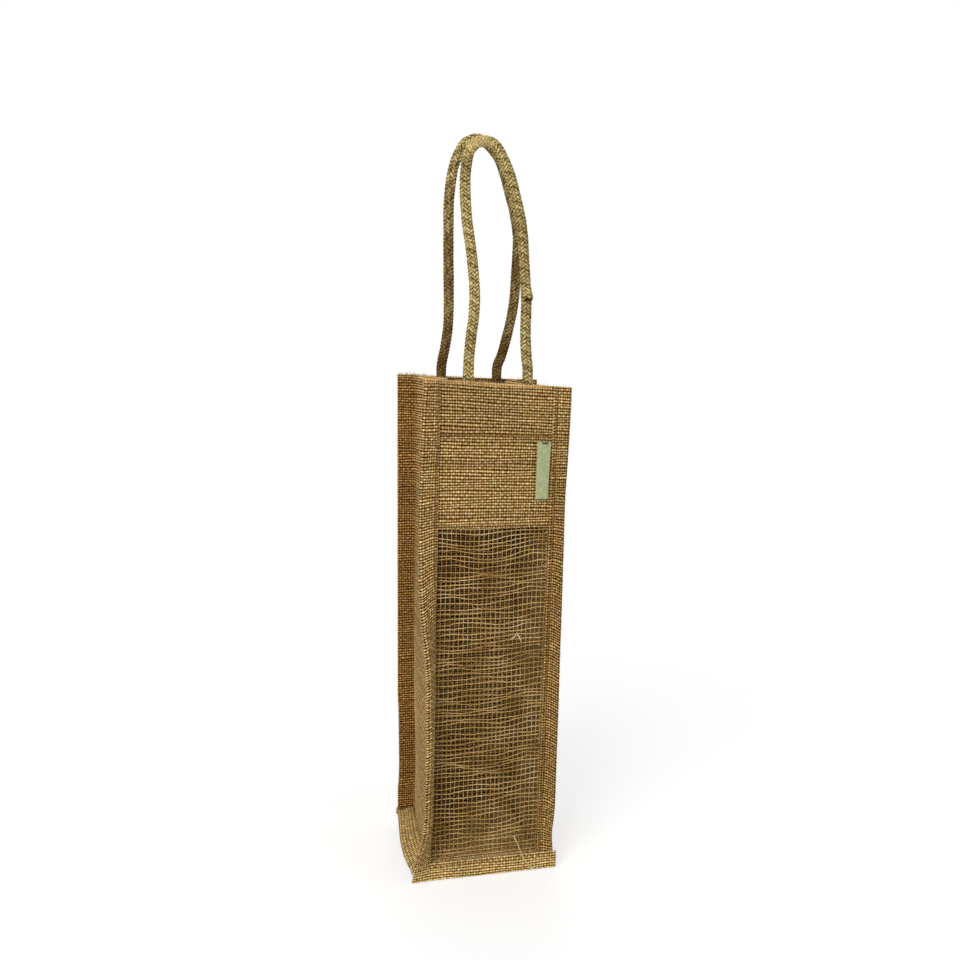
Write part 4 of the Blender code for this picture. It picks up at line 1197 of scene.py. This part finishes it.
def net():
    """Open net of single yarns in a plain weave, with margins inside the seams. A yarn bends
    over and under the others as a cosine of how many it has passed."""
    half = (NET_UP_RADIUS + NET_CROSS_RADIUS) / 2
    x = np.linspace(-NET_REACH, NET_REACH, NET_POINTS * round(2 * NET_REACH / NET_ACROSS) + 1)
    z = net_rows(x)
    row = np.arange(NET_ROWS)[:, None]
    y = NET_Y + half * np.cos(math.pi * x / NET_ACROSS) * np.where(row % 2, 1, -1)
    size, shift, seed, lengths = NET_CROSS_SLUBS
    slub = 1 + size * ripple(x[None] + row * shift, z, seed, lengths)
    cross = settled(stacked(x[None], y, z))
    cross = rings_to_tubes(cross, NET_CROSS_RADIUS * slub, YARN_SIDES, np.array([0, 0, 1.0]))
    lines = np.arange(-math.floor(NET_REACH / NET_ACROSS), math.floor(NET_REACH / NET_ACROSS) + 1)
    up = np.linspace(*NET_ENDS, NET_POINTS * NET_ROWS)
    across = (lines * NET_ACROSS)[:, None]
    size, shift, seed, lengths = NET_DRIFT
    drift = size * ripple(across * shift, up[None], seed, lengths)
    heights = net_rows(across[:, 0])
    passed = np.stack([np.interp(up, column, np.arange(NET_ROWS)) for column in heights.T])
    y = NET_Y - half * np.cos(math.pi * passed) * np.where(lines[:, None] % 2, -1, 1)
    size, shift, seed, lengths = NET_UP_SLUBS
    slub = 1 + size * ripple(across * shift, up[None], seed, lengths)
    upright = settled(stacked(across + drift, y, up[None]))
    upright = rings_to_tubes(upright, NET_UP_RADIUS * slub, YARN_SIDES, np.array([1.0, 0, 0]))
    # Painted shade on the upright yarns
    shade = np.repeat([1, NET_UP_SHADE], [len(cross[0]), len(upright[0])])
    made = piece("net", *joined([cross, upright]), NET_YARN,
                 facts={"shade": np.stack([shade] * 3, -1)})
    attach(made, "bag")
    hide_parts("window_net")


# Ropes

ROPE_RADIUS = 3.7 * MM
ROPE_HOLD = 40 * MM  # of a rope's end behind the hem
ROPE_HOLD_STEP = 16 * MM
PIVOT_RISE = 9 * MM
HANDLE_LEAN = math.radians(10.4)
ROPE_Y = (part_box("back_left_rope_end")[0].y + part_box("back_left_rope_end")[1].y) / 2
PIVOT_Z = HEIGHT + PIVOT_RISE
# Routes read off the photograph, in millimetres: across, and up from the bend at the bag's edge
FRONT_ROUTE = (
    (-19.5, 0.0), (-18.9, 9.0), (-17.2, 23.0), (-15.2, 36.0), (-14.3, 50.0), (-14.9, 66.0),
    (-16.6, 84.0), (-18.9, 102.0), (-19.9, 122.0), (-19.2, 137.0), (-16.6, 149.5),
    (-11.7, 155.6), (-6.0, 158.2), (-1.0, 157.5), (3.7, 154.0), (9.0, 144.0), (13.1, 132.7),
    (17.0, 116.0), (20.2, 99.0), (21.3, 80.0), (22.0, 60.0), (22.3, 45.0), (21.4, 25.0),
    (21.7, 10.0), (22.5, 0.0),
)
BACK_ROUTE = (
    (-24.0, 0.0), (-22.3, 13.0), (-20.9, 27.0), (-20.9, 40.0), (-22.0, 60.0), (-23.4, 80.0),
    (-24.6, 101.0), (-25.4, 118.0), (-24.5, 135.0), (-22.4, 146.0), (-17.4, 157.0),
    (-12.8, 160.6), (-8.2, 162.0), (-3.4, 161.1), (1.2, 158.5), (5.4, 154.5), (9.9, 149.0),
    (14.6, 138.5), (18.9, 127.0), (23.0, 115.5), (26.2, 103.5), (27.8, 91.5), (28.2, 75.0),
    (28.6, 55.0), (27.6, 40.0), (24.9, 23.0), (22.0, 9.0), (19.3, 0.0),
)
ROUTE_PIECES = 24  # of the smooth curve between two of a route's own points
ROPE_SIDES = 84
ROPE_STEP = 0.46 * MM
ROPE_SWELL = 0.15 * MM
ROPE_UNEVEN = 0.03
ROPE_UNEVEN_WAVES = (0.02, 0.05, 0.11)
BRAID_STRANDS = 8  # each way round
BRAID_STEP = 2.6 * MM  # along the rope from one strand to the next
BRAID_RELIEF = 0.85 * MM
BRAID_HALF_SHARE = 0.40  # of a strand's half width in the step
BRAID_TONES = 8  # along a strand, before they repeat
BRAID_TONE_STEPS = 3  # along a strand under one tone
BRAID_LOOSE = 0.30  # of a step, by which a strand wanders
BRAID_LOOSE_WAVES = (0.006, 0.010, 0.017)
BRAID_ROUND = 20 * MM  # of the wandering, once round the rope
BRAID_RIDE_SHARE = 0.42  # of the height, by which a strand rides over and under
BRAID_LIFT = 0.1  # keeps the height above 0

# Where a strand of the front rope's right leg has come loose
WORN_SIDE = math.radians(232)  # round the rope's right leg, towards the right and the front
WORN_SWELL = 1.5 * MM
WORN_RISE = 9 * MM  # along the rope, over which the surface swells
WORN_END = 2.2 * MM  # and over which it ends
WORN_RAGGED = 0.8 * MM
WORN_SHADOW = (1.4, 1.0)  # the painted shadow under the swelling: its place and reach, in ends past the step
WORN_PALE = (-1.0, 1.6)

# The ropes' tones, with painted shade and painted highlights
BROWN_PATCHES = 0.50
BROWN_WAVES = (0.016, 0.029, 0.052)
BROWN_DOWN = 0.8  # how brown a rope becomes below a height
BROWN_DOWN_OVER = 0.12
# Painted shade on the ropes' legs lies below this height
LEG_SHADE_FADE = (0.52, 0.03)
CREST_UP_FADE = (0.508, 0.014)  # the painted highlight on the front loop's crest, on its left
CREST_LEFT_FADE = (4 * MM, 10 * MM)
# On the crest the braid's height is evened towards one level and paled, as a painted highlight
CREST_HEIGHT = 0.82
CREST_EVENED = 0.6
CREST_HIGHLIGHT = 0.22
HEIGHT_UNEVEN = 0.26
HEIGHT_WAVES = (0.0031, 0.0047, 0.0083)
# How dark the painted shadow under the loose strand's swelling is
SWELL_SHADOW = 0.4
STEP_PALE = 0.25
ROPE_HAIRS = 1000
ROPE_HAIR_LENGTHS = (0.6, 1.5)  # in millimetres
ROPE_HAIR_RADIUS = 0.07 * MM
ROPE_HAIR_LIFT = 0.55
ROPE_HAIR_STRAND = (0, 0, 0.2)
ROPE_HAIR_LAY = (0.95, 0.0, 0.45)


def rope_line(side, ways):
    """Centres of a rope's rings, evenly spaced, up behind the hem, round the leaning loop and
    down behind the hem again. They lie on a cubic curve through the route's points that runs at
    each one as from the point before it to the point after it."""
    legs = [ways[0][0] * MM, ways[-1][0] * MM]
    holds = HEIGHT - ROPE_HOLD + np.arange(3) * ROPE_HOLD_STEP
    route = [(legs[0], side * ROPE_Y, level) for level in holds]
    route += [
        (across * MM, side * (ROPE_Y - up * MM * math.sin(HANDLE_LEAN)),
         PIVOT_Z + up * MM * math.cos(HANDLE_LEAN))
        for across, up in ways
    ]
    route += [(legs[1], side * ROPE_Y, level) for level in holds[::-1]]
    spots = np.array(route)
    spots = np.concatenate([[2 * spots[0] - spots[1]], spots, [2 * spots[-1] - spots[-2]]])
    t = (np.arange(ROUTE_PIECES) / ROUTE_PIECES)[None, :, None]
    first, start, end, after = (spots[k:len(spots) - 3 + k, None] for k in range(4))
    fine = 0.5 * (
        2 * start + (end - first) * t + (2 * first - 5 * start + 4 * end - after) * t ** 2
        + (3 * start - first - 3 * end + after) * t ** 3
    )
    fine = np.concatenate([fine.reshape(-1, 3), spots[-2:-1]])
    lengths = np.concatenate([[0], np.cumsum(np.linalg.norm(np.diff(fine, axis=0), axis=1))])
    where = np.linspace(0, lengths[-1], round(lengths[-1] / ROPE_STEP) + 1)
    return np.stack([np.interp(where, lengths, fine[:, k]) for k in range(3)], -1), where


def braid(around, along, seed):
    """A two-over-two braid at a share around the rope and a way along it: (height from 0 to 1,
    place across the strand, place along it, its tone). Strands of two families wind round in
    opposite directions, each rides over and under as a sine of four steps, and is half round
    across itself; the higher one shows."""
    loose = [
        BRAID_LOOSE * ripple(along, around * BRAID_ROUND, seed + k, BRAID_LOOSE_WAVES)
        for k in (10, 11)
    ]
    a = BRAID_STRANDS * around + 1 + along / BRAID_STEP + loose[0]
    b = BRAID_STRANDS * around + 1 - along / BRAID_STEP + loose[1]
    tones = np.random.default_rng(seed).random((2, BRAID_STRANDS, BRAID_TONES))
    found = []
    for family, (own, other, way) in enumerate(((a, b, 1), (b, a, -1))):
        number = np.floor(own)
        across = own - number - 0.5
        ride = way * np.sin(QUARTER * (number + other))
        dome = np.sqrt(np.clip(1 - (across / BRAID_HALF_SHARE) ** 2, 0, 1))
        stretch = np.floor(other / BRAID_TONE_STEPS).astype(int) % BRAID_TONES
        tone = tones[family][number.astype(int) % BRAID_STRANDS, stretch]
        height = BRAID_RIDE_SHARE * ride + (1 - BRAID_RIDE_SHARE) * dome
        found.append((height, across, other, tone))
    top = found[0][0] > found[1][0]
    values = [np.where(top, first, second) for first, second in zip(*found)]
    values[0] = np.clip((values[0] + BRAID_LIFT) / (1 + BRAID_LIFT), 0, 1)
    return values


def worn_place(along, angle, start):
    """Where a strand has come loose from a way along the rope on: how far the surface swells,
    how much painted shadow lies past the ragged step and how pale before it, each from 0 to 1."""
    ahead = along[:, None] - start + WORN_RAGGED * np.sin(3 * angle)
    facing = np.clip(np.cos(angle - WORN_SIDE), 0, 1) ** 0.5
    swell = smooth(1 + ahead / WORN_RISE) * np.sqrt(np.clip(1 - ahead / WORN_END, 0, 1))
    shadowed, paled = (
        close_to(ahead, place * WORN_END, reach * WORN_END)
        for place, reach in (WORN_SHADOW, WORN_PALE)
    )
    return swell * facing, shadowed * facing, paled * facing


def rope_tones(line, along, angle, height, shadowed, paled, seed, brown_below, leg_shades, crest_highlit):
    """The lay of a rope's strands: the braid's height as it shows, evened on the crest and
    darkened by a painted shadow past the loose strand's step; how brown the rope is, in patches and
    below a height; and half of how pale, with painted shade that differs between its two legs and
    a painted highlight on the front loop's crest."""
    patches = BROWN_PATCHES * ripple(along, 0 * along, seed + 5, BROWN_WAVES)
    brown = patches + BROWN_DOWN * before(line[:, 2], brown_below, BROWN_DOWN_OVER)
    brown = np.clip(brown, 0, 1)[:, None] + 0 * height
    going_down = np.arange(len(line)) > len(line) / 2
    leg_shade = np.where(going_down, leg_shades[1], leg_shades[0]) * before(line[:, 2], *LEG_SHADE_FADE)
    crest = past(line[:, 2], *CREST_UP_FADE) * before(line[:, 0], *CREST_LEFT_FADE) * crest_highlit
    shown = height + HEIGHT_UNEVEN * ripple(
        along[:, None], angle * ROPE_RADIUS, seed + 7, HEIGHT_WAVES
    )
    shown = shown + (CREST_HEIGHT - shown) * CREST_EVENED * crest[:, None]
    shown = np.clip(shown - SWELL_SHADOW * shadowed, 0, 1)
    pale = (1 - leg_shade + CREST_HIGHLIGHT * crest)[:, None] + STEP_PALE * paled
    return np.stack([shown, brown, 0.5 * pale], -1)


def rope(word, side, ways, seed, brown_below, worn_level, leg_shades, crest_highlit):
    """A braided rope handle with its two sewn-in ends, as one tube with hairs that stand out.
    It takes the painted shade on its left and its right leg, and a worn level, the height at
    which a strand of its right leg has come loose."""
    line, along = rope_line(side, ways)
    tangent = np.gradient(line, axis=0)
    tangent /= np.linalg.norm(tangent, axis=1, keepdims=True)
    level = np.array([0, math.cos(HANDLE_LEAN), math.sin(side * HANDLE_LEAN)])
    across = np.cross(level, tangent)
    across /= np.linalg.norm(across, axis=1, keepdims=True)
    outward = np.cross(tangent, across)
    share = (np.arange(ROPE_SIDES) / ROPE_SIDES)[None]
    angle = share * math.tau
    height, place, way, tone = braid(share, along[:, None], seed)
    uneven = ripple(along[:, None], 0 * share, seed + 1, ROPE_UNEVEN_WAVES)
    radius = (ROPE_RADIUS + ROPE_SWELL) * (1 + ROPE_UNEVEN * uneven) - BRAID_RELIEF * (1 - height)
    swell = shadowed = paled = 0 * height
    if worn_level:
        going_down = np.arange(len(line)) > len(line) / 2
        worn_and_lit = np.argmin(np.abs(line[:, 2] - worn_level) + 1.0 * ~going_down)
        swell, shadowed, paled = worn_place(along, angle, along[worn_and_lit])
    radius = radius + WORN_SWELL * swell
    spread = across[:, None] * np.cos(angle[0])[:, None] + outward[:, None] * np.sin(angle[0])[:, None]
    points = (line[:, None] + spread * radius[..., None]).reshape(-1, 3)
    strand = np.stack([place, way, tone], -1).reshape(-1, 3)
    lay = rope_tones(
        line, along, angle, height, shadowed, paled, seed, brown_below, leg_shades, crest_highlit
    ).reshape(-1, 3)
    draw = np.random.default_rng(seed + 2)
    roots = draw.integers(0, len(points), ROPE_HAIRS)
    ring, spoke = roots // ROPE_SIDES, roots % ROPE_SIDES
    lean = tangent[ring] * draw.uniform(-1, 1, (ROPE_HAIRS, 1))
    lean = lean + spread[ring, spoke] * ROPE_HAIR_LIFT
    lengths = draw.uniform(*ROPE_HAIR_LENGTHS, ROPE_HAIRS) * MM
    hairs = hair(points[roots], lean, lengths, ROPE_HAIR_RADIUS, draw)
    tube = (points, tube_faces(1, len(line), ROPE_SIDES))
    strand = np.concatenate([strand, np.repeat([ROPE_HAIR_STRAND], len(hairs[0]), 0)])
    lay = np.concatenate([lay, np.repeat([ROPE_HAIR_LAY], len(hairs[0]), 0)])
    facts = {"strand": strand, "lay": lay}
    made = piece(f"{word}_rope", *joined([tube, hairs]), ROPE, facts=facts)
    body = f"{word}_handle"
    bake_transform(made)
    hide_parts(body, f"{word}_left_rope_end", f"{word}_right_rope_end")


def ropes():
    """The front rope, worn and with a painted highlight, and the browner back rope, with more
    painted shade.
    """
    rope("front", -1, FRONT_ROUTE, 91, 0.28, 0.419, leg_shades=(-0.03, 0.10), crest_highlit=True)
    rope("back", 1, BACK_ROUTE, 97, 0.52, None, leg_shades=(0.25, 0.21), crest_highlit=False)


# Sewing

STITCH = 3.4 * MM
STITCH_GAP = 0.9 * MM
STITCH_RADIUS = 0.32 * MM
STITCH_SHARES = np.linspace(0.06, 0.86, 6)  # of a stitch's room, at its rings
STITCH_ARCH = np.array([-0.45, 0.05, 0.25, 0.25, 0.05, -0.45]) * MM
STITCH_REFERENCE = np.array([0.02, 0.01, 0.03])  # keeps the rings off their lines
STITCH_ROOM = 2 * MM  # at the ends of a row
HEM_STITCH_SINK = 0.5 * MM
WINDOW_STITCH_RISE = 3 * MM


def stitches(name, node, start, end, outward):
    """A row of stitches between two points: each is a short thread that rises out of the cloth,
    arches over it and dives in again."""
    start, end, outward = (np.array(value, float) for value in (start, end, outward))
    length = np.linalg.norm(end - start)
    count = round(length / (STITCH + STITCH_GAP))
    share = (np.arange(count)[:, None] + STITCH_SHARES) / count
    line = start + (end - start) * share[..., None]
    line = settled(line + outward * (STITCH_ARCH + CLOTH / 2)[:, None])
    radii = np.full(line.shape[:2], STITCH_RADIUS)
    points, groups = rings_to_tubes(line, radii, YARN_SIDES, outward + STITCH_REFERENCE)
    made = piece(name, points, groups, STITCH_YARN)
    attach(made, "bag")
    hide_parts(node)


def sewing():
    """The stitches of the upright seams, the four rims, both hems and the window's top."""
    seam = SEAM_X + SEAM_STITCH_INSET
    low, high = RIM_SEAM_Z + STITCH_ROOM, HEIGHT - STITCH_ROOM
    tip = FLANGE_TIP - STITCH_ROOM
    for (ends, way), y in zip(ENDS, (FRONT_OUTER_Y, BACK_OUTER_Y)):
        for word, side in SIDES:
            stitches(f"{ends}_{word}_seam_stitches", f"{ends}_{word}_seam_thread",
                     (side * seam, y, low), (side * seam, y, high), (0, way, 0))
        z = RIM_HEIGHT - SEAM_STITCH_INSET
        stitches(f"{ends}_rim_stitches", f"{ends}_rim_thread", (-tip, y, z), (tip, y, z),
                 (0, way, 0))
    rim_up = np.array([math.cos(RIM_FLARE), 0, math.sin(RIM_FLARE)])
    rim_in = np.array([math.sin(RIM_FLARE), 0, -math.cos(RIM_FLARE)])
    spot = np.array([SEAM_X, 0, RIM_SEAM_Z]) + SEAM_STITCH_INSET * rim_in + LAYER * rim_up
    reach = np.array([0, WEB_REACH - STITCH_ROOM, 0])
    for word, side in SIDES:
        mirror = np.array([side, 1, 1])
        stitches(f"{word}_rim_stitches", f"{word}_rim_thread",
                 spot * mirror - reach, spot * mirror + reach, rim_up * mirror)
    for word, y, z, way in (
        ("front_hem", FRONT_Y + HEM_STITCH_SINK, HEM_STITCH_Z, -1),
        ("back_hem", BACK_Y - HEM_STITCH_SINK, HEM_STITCH_Z, 1),
        ("window", FRONT_Y, WINDOW_TOP + WINDOW_STITCH_RISE, -1),
    ):
        stitches(f"{word}_stitches", f"{word}_thread", (-MIDDLE_REACH, y, z), (MIDDLE_REACH, y, z),
                 (0, way, 0))


# Label

LABEL_TALL = 40 * MM
LABEL_TAPE = 0.4 * MM
LABEL_LOFT = 0.9 * MM
LABEL_INSIDE_SHADE = 0.22  # how light the painted shade leaves the tape's reverse against its face
LABEL_GRID = (57, 41)  # points along the tape and up it
LABEL_CROWN = 0.35 * MM
LABEL_SHARES = (0.91, 0.09)  # how wide it shows at its top, and how much less at its foot
LABEL_SHIFTS = (0.5 * MM, 1.2 * MM)  # to the left at its top, and how much more at its foot
LABEL_WAVE = (0.12 * MM, 2, 3, (0.02, 0.033))  # size, how much shorter across, seed, lengths
LABEL_GAPE_ENDS = ((2.5 * MM, 1 * MM), (2.2 * MM, 0.5 * MM))  # from its fold and from its root
LABEL_GAPE_FADE = (0.90, 0.10)  # as shares of its height
LABEL_GAPE_DROP = 1.4 * MM
LABEL_GAPE_OUT = 0.5 * MM


def label():
    """A folded tape: from its root along the back, round the fold and forward again, with a
    slight crown between its edges; the open top shows the slit between its layers, with painted
    shade on the reverse."""
    low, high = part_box("side_label")
    root, top = high.x, high.z
    radius = LABEL_LOFT / 2
    fold = low.x + LABEL_TAPE / 2 + radius
    turn = arc((fold, 0), radius, QUARTER, 3 * QUARTER)
    run = run_of((root, radius), turn, (root, -radius))
    u = np.linspace(0, run[1][-1], LABEL_GRID[0])[:, None]
    v = np.linspace(0, 1, LABEL_GRID[1])[None]
    x, y = on_run(run, u)
    crown = LABEL_CROWN * np.sin(math.pi * np.clip((x - fold) / (root - fold), 0, 1))
    z = top - LABEL_TALL + LABEL_TALL * v
    wide, narrowing = LABEL_SHARES
    shift, slant = LABEL_SHIFTS
    x = root - (root - x) * (wide - narrowing * (1 - v)) - (shift + slant * (1 - v))
    size, shorter, seed, lengths = LABEL_WAVE
    wave = size * ripple(x * shorter, z, seed, lengths)
    (begun, over), (gone, within) = LABEL_GAPE_ENDS
    gape = past(x, fold + begun, over) * before(x, root - gone, within)
    gape = gape * past(v, *LABEL_GAPE_FADE) * (y < 0)
    z = z - LABEL_GAPE_DROP * gape
    wave = wave - LABEL_GAPE_OUT * gape
    spots = stacked(x + 0 * v, (low.y + high.y) / 2 + y + np.sign(y) * crown + wave, z + 0 * u)
    normal = np.cross(np.gradient(spots, axis=0), np.gradient(spots, axis=1))
    normal /= np.linalg.norm(normal, axis=-1, keepdims=True)
    skins = np.stack([spots + normal * LABEL_TAPE / 2, spots - normal * LABEL_TAPE / 2])
    front, back = np.arange(skins[..., 0].size).reshape(skins.shape[:3])
    groups = [
        quads_of(front),
        quads_of(back)[:, ::-1],
        quads_of(np.stack([back[:, 0], front[:, 0]], 1)),
        quads_of(np.stack([front[:, -1], back[:, -1]], 1)),
        quads_of(np.stack([front[0], back[0]], 0)),
        quads_of(np.stack([back[-1], front[-1]], 0)),
    ]
    # Painted shade on the tape's reverse, seen in the slit at its top
    shade = np.repeat([1, LABEL_INSIDE_SHADE], front.size)
    made = piece("folded_label", skins.reshape(-1, 3), groups, TAPE,
                 facts={"shade": np.stack([shade] * 3, -1)})
    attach(made, "label")
    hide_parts("side_label")


def tacks():
    """The rope ends' tacks keep their shape and take the sewing yarn's finish."""
    for ends, _ in ENDS:
        for word, _ in SIDES:
            node = frame["nodes"][f"{ends}_{word}_rope_tack"]
            node.data.materials.clear()
            node.data.materials.append(STITCH_YARN)


# Stage, light and camera

FLOOR_HALF = 6.0
FLOOR_DROP = 0.2 * MM
FLOOR_GREY = (0.55, 0.55, 0.55, 1)
FLOOR_PLAIN = (0.8, 0.8, 0.8, 1)
FLOOR_LIFT = 0.58  # of white, added to what the lamps give it
FLOOR_FADE = (0.12, 0.55)  # from its middle, where it is plain, to where it is white
ROOM_LIGHT = 0.42
LAMP_TARGET = Vector((0, 0, 0.22))
LAMPS = (  # name, place, size and power
    ("key_lamp", (-1.00, -1.20, 1.10), 0.9, 18.5),
    ("fill_lamp", (1.20, -0.90, 0.60), 1.0, 3.5),
    ("back_lamp", (0.30, 1.40, 1.10), 1.0, 6),
)


def shown_to_eye(tree):
    """Whether a ray comes from the camera, straight or by way of a shiny or clear surface."""
    seen = add(tree, "ShaderNodeLightPath")
    shown = seen.outputs["Is Camera Ray"]
    for word in ("Is Glossy Ray", "Is Transmission Ray"):
        shown = add(tree, MATH, {0: shown, 1: seen.outputs[word]}, operation="MAXIMUM").outputs[0]
    return shown


def stage():
    """A pale floor that keeps the bag's shadow near it and is plain white further off and to
    everything but the light."""
    mesh = bpy.data.meshes.new("floor")
    corners = [(x * FLOOR_HALF, y * FLOOR_HALF, 0) for x, y in ((-1, -1), (1, -1), (1, 1), (-1, 1))]
    mesh.from_pydata(corners, [], [(0, 1, 2, 3)])
    floor = bpy.data.objects.new("floor", mesh)
    floor.location.z = -FLOOR_DROP
    bpy.context.scene.collection.objects.link(floor)
    material, tree = blank_material("white_floor")
    where = add(tree, "ShaderNodeTexCoord").outputs["Object"]
    away = add(tree, "ShaderNodeVectorMath", {0: where}, operation="LENGTH").outputs["Value"]
    near_end, far_end = FLOOR_FADE
    far = add(
        tree, RANGE, {"Value": away, "From Min": near_end, "From Max": far_end},
        interpolation_type="SMOOTHSTEP",
    )
    lit = add(tree, "ShaderNodeBsdfDiffuse", {"Color": FLOOR_GREY})
    lift = add(tree, "ShaderNodeEmission", {"Strength": FLOOR_LIFT})
    near = add(tree, "ShaderNodeAddShader", {0: lit, 1: lift})
    white = add(tree, "ShaderNodeEmission", {"Strength": 1.0})
    both = add(tree, "ShaderNodeMixShader", {0: far, 1: near, 2: white})
    plain = add(tree, "ShaderNodeBsdfDiffuse", {"Color": FLOOR_PLAIN})
    mix = add(tree, "ShaderNodeMixShader", {0: shown_to_eye(tree), 1: plain, 2: both})
    add(tree, "ShaderNodeOutputMaterial", {"Surface": mix})
    mesh.materials.append(material)


def lights():
    """Soft daylight from all round, with a broad lamp high on the left, a weaker one on the
    right and one behind."""
    world = bpy.data.worlds.new("white_room")
    bpy.context.scene.world = world
    world.use_nodes = True
    tree = world.node_tree
    tree.nodes.clear()
    white = (1, 1, 1, 1)
    soft = add(tree, "ShaderNodeBackground", {"Strength": ROOM_LIGHT, "Color": white})
    plain = add(tree, "ShaderNodeBackground", {"Strength": 1.0, "Color": white})
    mix = add(tree, "ShaderNodeMixShader", {0: shown_to_eye(tree), 1: soft, 2: plain})
    add(tree, "ShaderNodeOutputWorld", {"Surface": mix})
    for name, place, size, power in LAMPS:
        data = bpy.data.lights.new(name, "AREA")
        data.size = size
        data.energy = power
        lamp = bpy.data.objects.new(name, data)
        lamp.location = place
        lamp.rotation_mode = "QUATERNION"
        lamp.rotation_quaternion = (LAMP_TARGET - Vector(place)).to_track_quat("-Z", "Y")
        bpy.context.scene.collection.objects.link(lamp)


def camera():
    """The photograph's view of the bag: from the left and a little above, rolled slightly."""
    data = bpy.data.cameras.new("camera")
    data.sensor_width = SENSOR_MM
    data.lens = SENSOR_MM * CAMERA_FOCUS_PIXELS / IMAGE_PIXELS
    thing = bpy.data.objects.new("camera", data)
    back = (CAMERA_PLACE - CAMERA_TARGET).normalized()
    right = Vector((0, 0, 1)).cross(back).normalized()
    up = back.cross(right)
    turned_right = right * math.cos(CAMERA_ROLL) + up * math.sin(CAMERA_ROLL)
    turned_up = up * math.cos(CAMERA_ROLL) - right * math.sin(CAMERA_ROLL)
    pose = Matrix((turned_right, turned_up, back)).transposed().to_4x4()
    pose.translation = CAMERA_PLACE
    thing.matrix_world = pose
    bpy.context.scene.collection.objects.link(thing)
    bpy.context.scene.camera = thing
    bpy.context.scene.view_settings.view_transform = "Standard"


camera()
lights()
stage()
ropes()
cloths()
net()
sewing()
label()
tacks()
loose_fibres()
